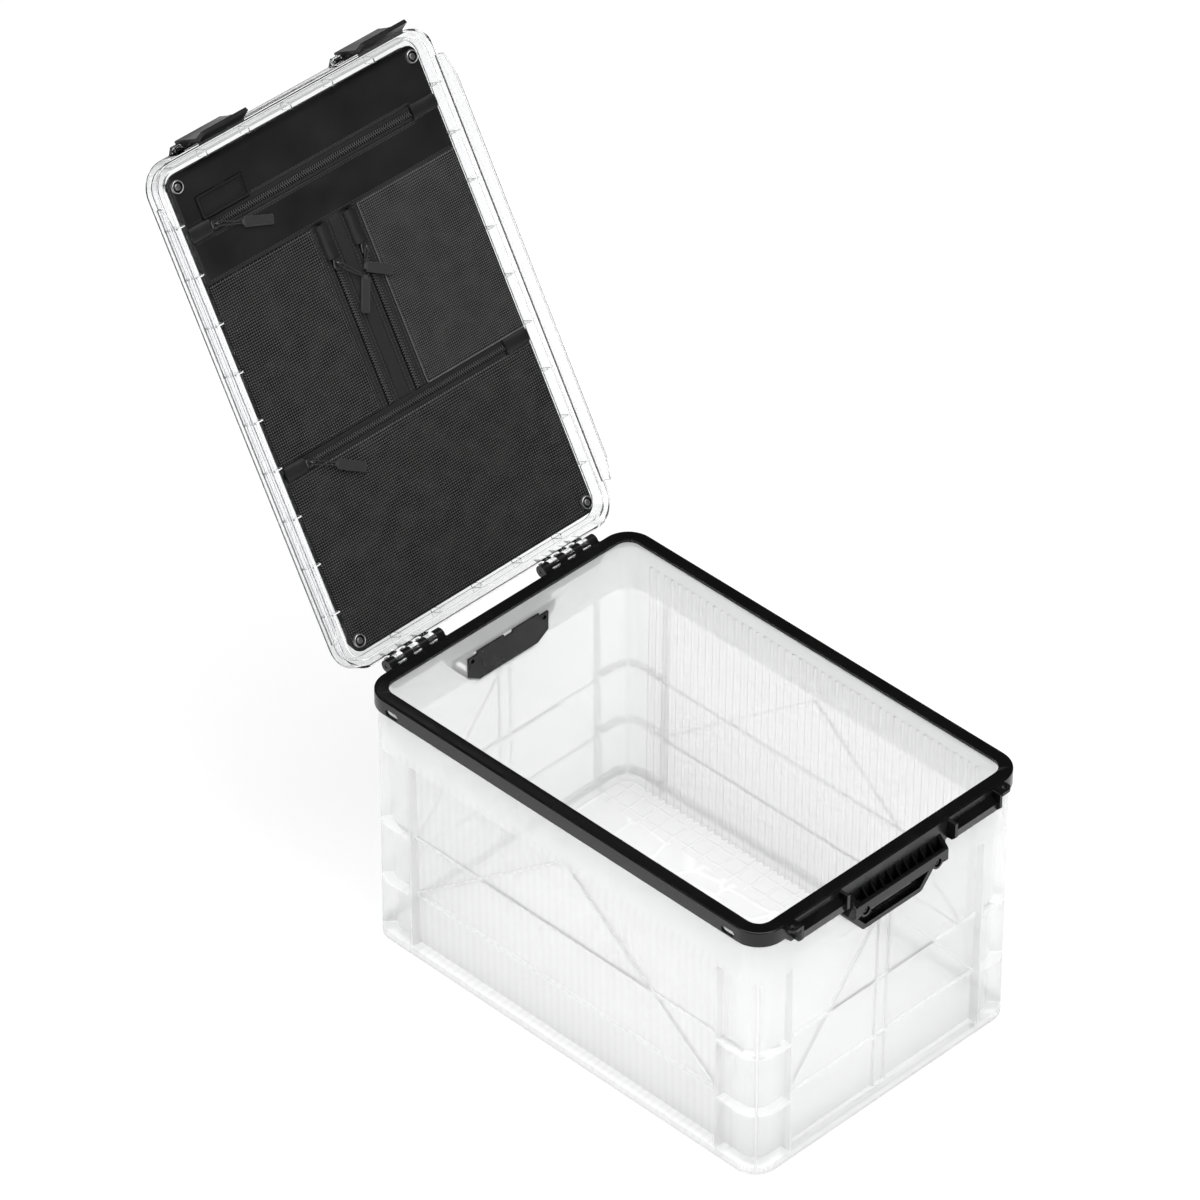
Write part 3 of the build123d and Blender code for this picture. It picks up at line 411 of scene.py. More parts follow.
def joinInto(shape, extra, place=None):
    mesh = bpy.data.meshes.new("passing")
    extra.to_mesh(mesh)
    if place is not None:
        mesh.transform(place)
    shape.from_mesh(mesh)
    bpy.data.meshes.remove(mesh)


def everything(shape):
    return shape.verts[:] + shape.edges[:] + shape.faces[:]


def soften(shape, items, offset, segments=2, affect="EDGES"):
    bmesh.ops.bevel(shape, geom=items, offset=offset, offset_type="OFFSET", segments=segments, profile=0.5,
                    affect=affect, material=-1)


def roundedPlate(width, length, corner, steps=5):
    # a flat plate in XY with round corners, centred
    shape = bmesh.new()
    bmesh.ops.create_grid(shape, x_segments=1, y_segments=1, size=0.5)
    bmesh.ops.scale(shape, vec=(width, length, 1), verts=shape.verts)
    soften(shape, shape.verts[:], corner, steps, "VERTICES")
    return shape


def thicken(shape, height):
    # a flat plate becomes a slab that stands on Z 0
    made = bmesh.ops.extrude_face_region(shape, geom=shape.faces[:])
    moved = [item for item in made["geom"] if isinstance(item, bmesh.types.BMVert)]
    bmesh.ops.translate(shape, vec=(0, 0, height), verts=moved)
    bmesh.ops.recalc_face_normals(shape, faces=shape.faces)


def cutAt(shape, axis, at, clear=0):
    # cuts at one X or Y; clear 1 or -1 takes away what lies beyond it on that side
    normal = Vector((1, 0, 0)) if axis == "x" else Vector((0, 1, 0))
    bmesh.ops.bisect_plane(shape, geom=everything(shape), dist=0.0001, plane_co=normal * at,
                           plane_no=normal * (clear or 1), clear_outer=bool(clear))


def cutGrid(shape, step):
    xs = [vert.co.x for vert in shape.verts]
    ys = [vert.co.y for vert in shape.verts]
    for axis, low, high in (("x", min(xs), max(xs)), ("y", min(ys), max(ys))):
        count = max(1, round((high - low) / step))
        for index in range(1, count):
            cutAt(shape, axis, low + (high - low) * index / count)


def turnDown(shape, depth):
    # folds the border down to the board and turns every face outwards
    made = bmesh.ops.extrude_edge_only(shape, edges=[edge for edge in shape.edges if edge.is_boundary])
    for item in made["geom"]:
        if isinstance(item, bmesh.types.BMVert):
            item.co.z = depth
    bmesh.ops.recalc_face_normals(shape, faces=shape.faces)
    if sum(face.normal.z * face.calc_area() for face in shape.faces) < 0:
        bmesh.ops.reverse_faces(shape, faces=shape.faces)


def clothMap(shape):
    # a UV map in millimetres over the piece's own XY, led down its folds by a share of their height
    share = 0.7
    layer = shape.loops.layers.uv.new("cloth")
    for face in shape.faces:
        for loop in face.loops:
            point = loop.vert.co
            loop[layer].uv = (point.x + share * point.z, point.y + share * point.z)


def roundBox(size, corner, segments=1):
    shape = bmesh.new()
    bmesh.ops.create_cube(shape, size=1)
    bmesh.ops.scale(shape, vec=size, verts=shape.verts)
    soften(shape, shape.edges[:], corner, segments)
    return shape


def easeUp(value):
    value = min(1.0, max(0.0, value))
    return value * value * (3 - 2 * value)


def sharpRim(shape, above=0.1, angle=0.7):
    return [edge for edge in shape.edges if len(edge.link_faces) == 2 and edge.calc_face_angle(0) > angle
            and all(vert.co.z > above for vert in edge.verts)]


def sinkFace(shape, border, step, depth):
    # leaves a raised border round the shape's top face
    top = max(shape.faces, key=lambda face: face.calc_center_median().z + face.calc_area() * 0.001)
    bmesh.ops.inset_region(shape, faces=[top], thickness=border, depth=0)
    bmesh.ops.inset_region(shape, faces=[top], thickness=step, depth=-depth)


# the moulded parts keep their CAD shape, with merged points and softened edges
moulded = {
    "rim_frame": ("crate", "rim", "black_plastic", 0.35),
    "front_grip_cover": ("crate", "rim", "black_plastic", 0.35),
    "rear_grip_cover": ("crate", "rim", "black_plastic", 0.35),
    "latch_left": ("latch_left", "latch", "black_plastic", 0.3),
    "latch_right": ("latch_right", "latch", "black_plastic", 0.3),
    "crate_body": ("crate", "frosted", "frosted_plastic", 0),
    "lid_shell": ("lid", "clear", "clear_plastic", 0.25),
}
for node, (body, material, slotName, edgeWidth) in moulded.items():
    shape = bmesh.new()
    shape.from_mesh(frame["nodes"][node].data)
    bmesh.ops.remove_doubles(shape, verts=shape.verts, dist=0.004 * mm)
    bmesh.ops.dissolve_limit(shape, angle_limit=math.radians(0.1), verts=shape.verts, edges=shape.edges)
    piece = makePiece(node + "Moulded", shape, body, finish[material], [node], 35)
    if edgeWidth:
        edge = piece.modifiers.new("softEdges", "BEVEL")
        edge.width = edgeWidth * mm
        edge.segments = 2
        edge.limit_method = "ANGLE"
        edge.angle_limit = math.radians(40)
    flats = piece.modifiers.new("flatFaces", "WEIGHTED_NORMAL")
    flats.keep_sharp = True
    flats.weight = 80
for node, material in (("hinge_pin_left", "metal"), ("hinge_pin_right", "metal"), ("organizer_board", "board")):
    frame["nodes"][node].data.materials.clear()
    frame["nodes"][node].data.materials.append(finish[material])
print("crate: moulded parts finished")

panel = {"halfWidth": 134.5, "halfLength": 207.1, "corner": 9.0, "step": 4.0, "depth": -2.4, "fold": 1.3, "swell": 9.0,
         "drop": 0.55, "hemEnd": 3.6, "hemEdge": 1.2, "calm": 12, "edgeCuts": (0.5, 1.3, 3.4, 4.8),
         "waves": ((0.047, 0.031, 0), (0.083, -0.061, 1.3))}
upperZip = {"start": (-130.0, 157.0), "end": (107.0, 157.0), "tape": 12.0, "hidden": (18.0, 0.0)}
leftZip = {"start": (-14.2, 114.7), "end": (-14.2, -43.2), "tape": 18.4, "hidden": (26.0, 0.0)}
rightZip = {"start": (16.2, 114.7), "end": (16.2, -43.2), "tape": 18.4, "hidden": (26.0, 0.0)}
lowerZip = {"start": (-134.5, -50.0), "end": (134.5, -50.0), "tape": 13.0, "hidden": (22.0, 26.0)}

# dents are (x, y, radius, depth), and ripple is how far the cloth wanders
upperPocket = {"low": (-134.5, 115.0), "high": (134.5, 207.1), "window": (-130.3, 107.3, 150.7, 163.3),
               "puff": 0.45, "ripple": 0.22, "hem": 0.12,
               "dents": ((10, 129, 23, -1.7), (-62, 134, 30, -0.5), (58, 136, 24, 0.45), (0, 187, 45, 0.3))}
leftPocket = {"low": (-134.5, -43.2), "high": (-23.7, 114.7), "window": None, "puff": 0.5, "ripple": 0.16, "hem": 0.25,
              "dents": ((-50, 96, 22, -0.5), (-95, 30, 40, 0.4))}
rightPocket = {"low": (27.2, -43.2), "high": (134.5, 114.7), "window": None, "puff": 0.5, "ripple": 0.16, "hem": 0.2,
               "dents": ((70, 85, 34, 0.5), (100, -10, 30, -0.3))}
lowerPocket = {"low": (-134.5, -207.1), "high": (134.5, -56.8), "window": None, "puff": 0.55, "ripple": 0.2, "hem": 0.3,
               "dents": ((-40, -110, 50, 0.5), (70, -150, 45, -0.4))}
middleStrip = {"low": (-4.7, -43.2), "high": (6.7, 114.7), "window": None, "puff": 0.3, "ripple": 0.05, "hem": 0.1,
               "dents": ()}


def edgeDistance(pocket, x, y):
    # how far a place lies from the pocket's nearest edge, round corners and zip window included
    overX = abs(x) - (panel["halfWidth"] - panel["corner"])
    overY = abs(y) - (panel["halfLength"] - panel["corner"])
    near = panel["corner"] - (math.hypot(overX, overY) if overX > 0 and overY > 0 else max(overX, overY))
    near = min(near, x - pocket["low"][0], pocket["high"][0] - x, y - pocket["low"][1], pocket["high"][1] - y)
    if pocket["window"]:
        left, right, low, high = pocket["window"]
        beyondX, beyondY = max(left - x, x - right), max(low - y, y - high)
        near = min(near, math.hypot(beyondX, beyondY) if beyondX > 0 and beyondY > 0 else max(beyondX, beyondY))
    return max(0.0, near)


def clothHeight(pocket, x, y):
    near = edgeDistance(pocket, x, y)
    folded = easeUp(near / panel["fold"])
    height = pocket["puff"] * easeUp(near / panel["swell"]) - panel["drop"] * (1 - folded)
    height += pocket["hem"] * (folded - easeUp((near - panel["hemEnd"]) / panel["hemEdge"]))
    inside = easeUp(near / panel["calm"])
    height += inside * pocket["ripple"] * sum(math.sin(x * a + y * b + shift) for a, b, shift in panel["waves"])
    for dentX, dentY, radius, depth in pocket["dents"]:
        height += inside * depth * math.exp(-((x - dentX) ** 2 + (y - dentY) ** 2) / radius ** 2)
    return height


def sewPocket(name, pocket, material, node):
    shape = roundedPlate(2 * panel["halfWidth"], 2 * panel["halfLength"], panel["corner"], 8)
    for axis, index in (("x", 0), ("y", 1)):
        cutAt(shape, axis, pocket["low"][index], -1)
        cutAt(shape, axis, pocket["high"][index], 1)
    cutGrid(shape, panel["step"])
    for step in panel["edgeCuts"]:
        for axis, index in (("x", 0), ("y", 1)):
            cutAt(shape, axis, pocket["low"][index] + step)
            cutAt(shape, axis, pocket["high"][index] - step)
    if pocket["window"]:
        left, right, low, high = pocket["window"]
        for step in (0, *panel["edgeCuts"]):
            for axis, at in (("x", left - step), ("x", right + step), ("y", low - step), ("y", high + step)):
                cutAt(shape, axis, at)
        hole = []
        for face in shape.faces:
            middle = face.calc_center_median()
            if left < middle.x < right and low < middle.y < high:
                hole.append(face)
        bmesh.ops.delete(shape, geom=hole, context="FACES")
    for vert in shape.verts:
        vert.co.z = clothHeight(pocket, vert.co.x, vert.co.y)
    turnDown(shape, panel["depth"])
    clothMap(shape)
    piece = makePiece(name, shape, "lid", material, [node], 50, onLid)


sewPocket("upperPocket", upperPocket, finish["leather"], "upper_pocket_panel")
sewPocket("leftMeshPocket", leftPocket, finish["coarse"], "left_mesh_panel")
sewPocket("rightMeshPocket", rightPocket, finish["fine"], "right_mesh_panel")
sewPocket("lowerPocket", lowerPocket, finish["coarse"], "lower_pocket_panel")
sewPocket("middleStrip", middleStrip, finish["strip"], "centre_strip")
print("crate: pockets sewn")

zipDetail = {"pitch": 2.3, "stagger": 0.25, "tooth": (2.7, 0.95, 1.0), "toothEdge": 0.22, "lean": 0.25, "tilt": 0.14,
             "toothHeight": 0.35, "row": 0.95, "sink": 0.6, "groove": 0.35, "grooveHalf": 2.4, "lip": 0.3,
             "lipIn": 2.5, "lipWidth": 1.5, "edge": 0.7, "edgeWidth": 0.5}


def layZip(name, line, node):
    # ribbed tape with two rows of interlocking teeth
    start, end = Vector(line["start"]), Vector(line["end"])
    length = (end - start).length
    turn = (Matrix.Translation((*start, 0))
            @ Matrix.Rotation(math.atan2(end.y - start.y, end.x - start.x) - math.pi / 2, 4, "Z"))
    half = line["tape"] / 2
    tape = bmesh.new()
    bmesh.ops.create_grid(tape, x_segments=24, y_segments=1, size=0.5)
    bmesh.ops.scale(tape, vec=(line["tape"], length, 1), verts=tape.verts)
    bmesh.ops.translate(tape, vec=(0, length / 2, 0), verts=tape.verts)
    for vert in tape.verts:
        reach = abs(vert.co.x)
        vert.co.z = -zipDetail["sink"] - zipDetail["groove"] * (1 - easeUp(reach / zipDetail["grooveHalf"]))
        vert.co.z += zipDetail["lip"] * easeUp((reach - half + zipDetail["lipIn"]) / zipDetail["lipWidth"])
        vert.co.z -= zipDetail["edge"] * easeUp((reach - half + zipDetail["edgeWidth"]) / zipDetail["edgeWidth"])
    turnDown(tape, panel["depth"])
    clothMap(tape)
    piece = makePiece(name + "Tape", tape, "lid", finish["tape"], [node], 50, onLid @ turn)
    tooth = roundBox(zipDetail["tooth"], zipDetail["toothEdge"])
    row = bmesh.new()
    count = int((length - sum(line["hidden"])) / zipDetail["pitch"])
    for side in (1, -1):
        for index in range(count):
            y = line["hidden"][0] + (index + 0.5 + zipDetail["stagger"] * side) * zipDetail["pitch"]
            joinInto(row, tooth, Matrix.Translation((side * zipDetail["row"], y, zipDetail["toothHeight"]))
                     @ Matrix.Rotation(side * zipDetail["lean"], 4, "Z")
                     @ Matrix.Rotation(-side * zipDetail["tilt"], 4, "Y"))
    tooth.free()
    makePiece(name + "Teeth", row, "lid", finish["teeth"], place=onLid @ turn)


layZip("upperZip", upperZip, "upper_zip")
layZip("leftZip", leftZip, "left_zip")
layZip("rightZip", rightZip, "right_zip")
layZip("lowerZip", lowerZip, "lower_zip")
print("crate: zips laid")

thread = {"pitch": 3.1, "size": (1.05, 0.32, 0.26), "lift": 0.06, "hemInset": 3.0, "tapeInset": 1.6, "tapeRows": 3.2,
          "windowInset": 2.4}
stitch = bmesh.new()
bmesh.ops.create_icosphere(stitch, subdivisions=1, radius=1)
bmesh.ops.scale(stitch, vec=thread["size"], verts=stitch.verts)


def sewLine(seam, start, end, height):
    start, line = Vector(start), Vector(end) - Vector(start)
    count = int(line.length / thread["pitch"])
    turn = Matrix.Rotation(math.atan2(line.y, line.x), 4, "Z")
    for index in range(count):
        x, y = start + line * ((index + 0.5) / count)
        joinInto(seam, stitch, Matrix.Translation((x, y, height(x, y) + thread["lift"])) @ turn)


def sewAlong(name, pocket, lines):
    seam = bmesh.new()
    for start, end in lines:
        sewLine(seam, start, end, lambda x, y: clothHeight(pocket, x, y))
    makePiece(name, seam, "lid", finish["thread"], place=onLid)


hem, around = thread["hemInset"], thread["windowInset"]
left, right, low, high = upperPocket["window"]
sewAlong("upperSeams", upperPocket, [((-131, 115 + hem), (131, 115 + hem)),
                                     ((-110, low - around), (right, low - around)),
                                     ((-64, high + around), (right, high + around)),
                                     ((right + around, low - around), (right + around, high + around))])
sewAlong("leftSeams", leftPocket, [((-23.7 - hem, 112), (-23.7 - hem, -41)), ((-131, -43.2 + hem), (-28, -43.2 + hem))])
sewAlong("rightSeams", rightPocket, [((27.2 + hem, 112), (27.2 + hem, -41)), ((31, -43.2 + hem), (131, -43.2 + hem))])
sewAlong("lowerSeams", lowerPocket, [((-131, -56.8 - hem), (131, -56.8 - hem))])
tapeSeams = bmesh.new()
for line in (leftZip, rightZip):
    for side in (1, -1):
        for inset in (thread["tapeInset"], thread["tapeInset"] + thread["tapeRows"]):
            x = line["start"][0] + side * (line["tape"] / 2 - inset)
            sewLine(tapeSeams, (x, 110), (x, -42), lambda x, y: -0.1)
makePiece("tapeSeams", tapeSeams, "lid", finish["thread"], place=onLid)
stitch.free()
print("crate: seams stitched")

flaps = {"corner": 2.6, "step": 1.1, "rise": 2.6, "uprightRise": 3.1, "under": -0.9, "fullness": 2.2, "roundness": 0.6,
         "wrinkle": 0.03, "wrinkleRate": 0.35, "lift": 0.05}


def bulgeFlap(shape, low, high, rise, upright):
    # a flap that bulges like a half tube over the end of a zip
    halfX, halfY = (high[0] - low[0]) / 2, (high[1] - low[1]) / 2
    flap = roundedPlate(2 * halfX, 2 * halfY, flaps["corner"], 5)
    cutGrid(flap, flaps["step"])
    for vert in flap.verts:
        across, along = (vert.co.x / halfX, vert.co.y) if upright else (vert.co.y / halfY, vert.co.x)
        swelling = max(0.0, 1 - abs(across) ** flaps["fullness"]) ** flaps["roundness"]
        vert.co.z = rise * swelling * (1 + flaps["wrinkle"] * math.sin(along * flaps["wrinkleRate"])) + flaps["lift"]
    turnDown(flap, flaps["under"])
    joinInto(shape, flap, Matrix.Translation(((low[0] + high[0]) / 2, (low[1] + high[1]) / 2, 0)))
    flap.free()


def makeFlaps(name, corners, node, upright=False):
    shape = bmesh.new()
    for low, high in corners:
        bulgeFlap(shape, low, high, flaps["uprightRise"] if upright else flaps["rise"], upright)
    clothMap(shape)
    makePiece(name, shape, "lid", finish["flap"], [node], 60, onLid)


makeFlaps("upperFlaps", [((-133.5, 150), (-111.8, 164)), ((107, 150), (133.5, 164))], "upper_zip_garages")
makeFlaps("lowerFlaps", [((-133.5, -57), (-112.8, -43)), ((108, -57), (133.5, -43))], "lower_zip_garages")
makeFlaps("leftFlap", [((-21.2, 85.2), (-7.2, 114.0))], "left_zip_garage", True)
makeFlaps("rightFlap", [((9.2, 85.2), (23.2, 114.0))], "right_zip_garage", True)
print("crate: flaps bulged")

sliderShape = {"length": 9.0, "shoulder": 7.6, "tail": 5.4, "taperFrom": -1, "taper": 4.0, "corner": 1.9, "step": 1.5,
               "low": 1.2, "thickness": 1.3, "edge": 0.4, "neck": (3.4, 2.4, 1.6), "neckEdge": 0.3, "neckDrop": 0.5,
               "archRadius": 2.0, "archWidth": 1.3, "archThickness": 0.85, "archSink": 0.1,
               "archStretch": (1.1, 1, 1.45, 1)}
# waist is the share of the way to the tab, with the spread and drop there; bend and loop are places past the bridge
pullShape = {"cordRadius": 0.55, "pivot": 4.2, "inTab": 4, "mouth": (1, 0.9), "waist": (0.55, 1.2, 0.9),
             "bend": (1.6, 1.625), "loop": (-0.7, 1.17), "tabWidth": 8.6, "tabThickness": 1.8, "tabLift": 1.2,
             "corner": 1.5, "edge": 0.3, "border": 0.7, "step": 0.2, "sunk": 0.18, "neck": (3.4, 4.4, 1.9),
             "neckEdge": 0.5, "neckOut": 0.3}


def castSlider(name, x, y, zipAngle, pullAngle):
    low = sliderShape["low"]
    plate = roundedPlate(sliderShape["length"], sliderShape["shoulder"], sliderShape["corner"], 4)
    cutGrid(plate, sliderShape["step"])
    for vert in plate.verts:
        share = max(0.0, min(1.0, (vert.co.x - sliderShape["taperFrom"]) / sliderShape["taper"]))
        vert.co.y *= 1 - share * (1 - sliderShape["tail"] / sliderShape["shoulder"])
    thicken(plate, sliderShape["thickness"])
    soften(plate, sharpRim(plate), sliderShape["edge"])
    onZip = Matrix.Translation((x, y, low)) @ Matrix.Rotation(zipAngle, 4, "Z")
    base = bmesh.new()
    joinInto(base, plate, onZip)
    plate.free()
    neck = roundBox(sliderShape["neck"], sliderShape["neckEdge"])
    joinInto(base, neck, onZip @ Matrix.Translation((0, 0, -sliderShape["neckDrop"])))
    neck.free()
    arch = bmesh.new()
    bmesh.ops.create_circle(arch, segments=10, radius=0.5, cap_ends=False)
    bmesh.ops.scale(arch, vec=(sliderShape["archThickness"], sliderShape["archWidth"], 1), verts=arch.verts)
    bmesh.ops.translate(arch, vec=(sliderShape["archRadius"], 0, 0), verts=arch.verts)
    bmesh.ops.spin(arch, geom=arch.edges[:], cent=(0, 0, 0), axis=(0, 1, 0), angle=-math.pi, steps=14, use_merge=False,
                   use_duplicate=False)
    bmesh.ops.holes_fill(arch, edges=arch.edges[:], sides=0)
    bmesh.ops.recalc_face_normals(arch, faces=arch.faces)
    joinInto(base, arch, Matrix.Translation((x, y, low + sliderShape["thickness"] - sliderShape["archSink"]))
             @ Matrix.Rotation(pullAngle, 4, "Z") @ Matrix.Diagonal(sliderShape["archStretch"]))
    arch.free()
    makePiece(name + "Slider", base, name + "_slider", finish["metal"], [name + "_slider"], place=onLid)


def smoothTube(points, radius):
    line = bpy.data.curves.new("line", "CURVE")
    line.dimensions = "3D"
    line.bevel_depth = radius
    line.bevel_resolution = 3
    line.use_fill_caps = True
    line.resolution_u = 8
    spline = line.splines.new("NURBS")
    spline.points.add(len(points) - 1)
    for point, place in zip(spline.points, points):
        point.co = (*place, 1)
    spline.order_u = 3
    spline.use_endpoint_u = True
    holder = bpy.data.objects.new("line", line)
    mesh = bpy.data.meshes.new_from_object(holder)
    shape = bmesh.new()
    shape.from_mesh(mesh)
    bpy.data.objects.remove(holder)
    bpy.data.curves.remove(line)
    bpy.data.meshes.remove(mesh)
    bmesh.ops.remove_doubles(shape, verts=shape.verts, dist=0.01)
    bmesh.ops.recalc_face_normals(shape, faces=shape.faces)
    return shape


def tiePull(name, x, y, tabStart, tabEnd):
    # a cord loop through the slider's bridge and a flat tab with a bare face
    start, end = Vector((*tabStart, 0)), Vector((*tabEnd, 0))
    bridge = Vector((x, y, 0))
    reach = start - bridge
    forward = reach.normalized()
    side = Vector((-forward.y, forward.x, 0))
    tabLine = (end - start).normalized()
    tabSide = Vector((-tabLine.y, tabLine.x, 0))
    up = Vector((0, 0, 1))
    middle = pullShape["tabLift"] + pullShape["tabThickness"] / 2
    pivot = pullShape["pivot"]
    mouthOut, mouthWide = pullShape["mouth"]
    waistAt, waistWide, waistDrop = pullShape["waist"]
    loop = []
    for sign in (1, -1):
        strand = [start + tabLine * pullShape["inTab"] + tabSide * sign * mouthWide + up * middle,
                  start - tabLine * mouthOut + tabSide * sign * mouthWide + up * middle,
                  bridge + reach * waistAt + side * sign * waistWide + up * (pivot - waistDrop)]
        for ahead, wide in (pullShape["bend"], pullShape["loop"]):
            strand.append(bridge + forward * ahead + side * sign * wide + up * pivot)
        loop += strand if sign > 0 else strand[::-1]
    makePiece(name + "PullCord", smoothTube(loop, pullShape["cordRadius"]), name + "_pull", finish["cord"],
              place=onLid)
    length = (end - start).length
    tab = roundedPlate(length, pullShape["tabWidth"], pullShape["corner"], 4)
    thicken(tab, pullShape["tabThickness"])
    soften(tab, [edge for edge in tab.edges if edge.calc_face_angle(0) > 0.9], pullShape["edge"])
    sinkFace(tab, pullShape["border"], pullShape["step"], pullShape["sunk"])
    neck = roundBox(pullShape["neck"], pullShape["neckEdge"], 2)
    joinInto(tab, neck, Matrix.Translation((-length / 2 - pullShape["neckOut"], 0, pullShape["tabThickness"] / 2)))
    neck.free()
    turn = (Matrix.Translation((start + end) / 2 + up * pullShape["tabLift"])
            @ Matrix.Rotation(math.atan2(tabLine.y, tabLine.x), 4, "Z"))
    makePiece(name + "PullTab", tab, name + "_pull", finish["rubber"], [name + "_pull"],
              place=onLid @ turn)


# each slider: its place, the zip's direction, and where its tab starts and ends
pulls = {
    "upper": (-107.0, 157.0, 0.0, (-82.2, 147.3), (-55.0, 137.5)),
    "left": (-14.2, 80.4, math.pi / 2, (6.4, 58.6), (-6.6, 33.4)),
    "right": (16.2, 80.4, math.pi / 2, (10.6, 66.4), (33.6, 53.0)),
    "lower": (-108.0, -50.0, 0.0, (-85.2, -62.2), (-60.6, -76.6)),
}
for name, (x, y, zipAngle, tabStart, tabEnd) in pulls.items():
    castSlider(name, x, y, zipAngle, math.atan2(tabStart[1] - y, tabStart[0] - x))
    tiePull(name, x, y, tabStart, tabEnd)
print("crate: sliders and pulls hung")

# the label patch: a plate with a raised border, and a thin raised line inside it round the bare field, over a band of
# painted shadow
patch = {"low": (-115.5, 164.3), "high": (-66.5, 183.0), "corner": 1.8, "thickness": 1.9, "sit": 0.15, "border": 1.3,
         "sunk": 1.0, "lineInset": 3.2, "line": 0.5, "lineBase": 0.4, "lineHeight": 1.1, "lineSunk": 0.45, "edge": 0.15,
         "shadow": 0.9, "shadowHeight": 0.7}
width, length = patch["high"][0] - patch["low"][0], patch["high"][1] - patch["low"][1]
label = bmesh.new()
for inset, height, base, border, sunk in ((0, patch["thickness"], 0, patch["border"], patch["sunk"]),
                                          (patch["lineInset"], patch["lineHeight"], patch["lineBase"], patch["line"],
                                           patch["lineSunk"])):
    plate = roundedPlate(width - 2 * inset, length - 2 * inset, patch["corner"], 4)
    thicken(plate, height)
    soften(plate, sharpRim(plate), patch["edge"])
    sinkFace(plate, border, patch["edge"], sunk)
    joinInto(label, plate, Matrix.Translation((0, 0, base)))
    plate.free()
# painted shadow: a thin near-black plate a little wider than the patch, standing for the shade round its edges
paintedShadowBand = roundedPlate(width + 2 * patch["shadow"], length + 2 * patch["shadow"], patch["corner"], 4)
thicken(paintedShadowBand, patch["shadowHeight"])
for face in paintedShadowBand.faces:
    face.material_index = 1
joinInto(label, paintedShadowBand)
paintedShadowBand.free()
bmesh.ops.translate(label, vec=((patch["low"][0] + patch["high"][0]) / 2, (patch["low"][1] + patch["high"][1]) / 2,
                                patch["sit"]), verts=label.verts)
clothMap(label)
makePiece("labelPatch", label, "lid", finish["leather"], ["label_patch"], place=onLid,
          second=finish["edge"])

piping = {"radius": 0.45, "lift": 0.25, "line": ((26.3, 114.4), (26.3, 20), (26.3, -41.5), (26.5, -42.8), (27.9, -43.0),
                                                 (80, -43.0), (133.6, -43.0))}
edging = smoothTube([(x, y, piping["lift"]) for x, y in piping["line"]], piping["radius"])
clothMap(edging)
makePiece("meshPiping", edging, "lid", finish["piping"], ["mesh_piping"], place=onLid)
print("crate: patch and piping laid")

screwShape = {"head": 2.8, "height": 1.5, "edge": 0.75, "arm": 1.8, "armWidth": 0.45, "depth": 0.9,
              "recessEdge": 0.08, "shank": 1.8, "shankTip": 1.5, "shankLength": 15.0, "seat": 0.75}
# the outline is (radius, height) from the hole out over the bowl and lip and back under; shadedBowl is the radius
# inside which the washer takes a much darker metal, a painted shade
washerShape = {"outline": ((1.9, 0.25), (4.1, 0.3), (4.4, 0.5), (4.6, 1.9), (4.95, 2.1), (5.05, 2.1), (5.45, 1.85),
                           (5.7, 0.9), (5.8, 0.25), (5.8, -0.1), (1.9, -0.1)), "shadedBowl": 4.55, "seat": 0.45}
boardScrews = {"x": 127.5, "y": 197.6, "shankAt": -6.8, "turn": 0.3}
gripScrews = {"x": 40.4, "z": 222.5, "seat": 226.7, "shankLength": 19.0, "shankGap": 0.1, "turn": 0.5, "turnRate": 0.02}


def screwHead(radius, height):
    # a pan head with a cross recess, its seat at Z 0
    head = bmesh.new()
    bmesh.ops.create_circle(head, cap_ends=True, segments=32, radius=radius)
    thicken(head, height)
    soften(head, sharpRim(head), screwShape["edge"], 4)
    level = max(vert.co.z for vert in head.verts) - 0.01
    for axis in ("x", "y"):
        normal = Vector((1, 0, 0)) if axis == "x" else Vector((0, 1, 0))
        for at in (-screwShape["arm"], -screwShape["armWidth"], screwShape["armWidth"], screwShape["arm"]):
            flat = [face for face in head.faces if face.calc_center_median().z > level]
            parts = flat + list({edge for face in flat for edge in face.edges}) + list(
                {vert for face in flat for vert in face.verts})
            bmesh.ops.bisect_plane(head, geom=parts, dist=0.0001, plane_co=normal * at, plane_no=normal)
    cross = []
    for face in head.faces:
        middle = face.calc_center_median()
        near, far = sorted((abs(middle.x), abs(middle.y)))
        if middle.z > level and far < screwShape["arm"] and near < screwShape["armWidth"]:
            cross.append(face)
    bmesh.ops.inset_region(head, faces=cross, thickness=screwShape["recessEdge"], depth=-screwShape["depth"])
    return head


def spinRound(points, steps=40):
    # turns an outline of (radius, height) places round Z into a closed ring
    shape = bmesh.new()
    verts = [shape.verts.new((radius, 0, height)) for radius, height in points]
    edges = [shape.edges.new((verts[index], verts[(index + 1) % len(verts)])) for index in range(len(verts))]
    bmesh.ops.spin(shape, geom=verts + edges, cent=(0, 0, 0), axis=(0, 0, 1), angle=math.tau, steps=steps,
                   use_merge=True, use_duplicate=False)
    bmesh.ops.remove_doubles(shape, verts=shape.verts, dist=0.001)
    bmesh.ops.recalc_face_normals(shape, faces=shape.faces)
    return shape


washerSet, screwSet, gripSet = bmesh.new(), bmesh.new(), bmesh.new()
washer = spinRound(washerShape["outline"])
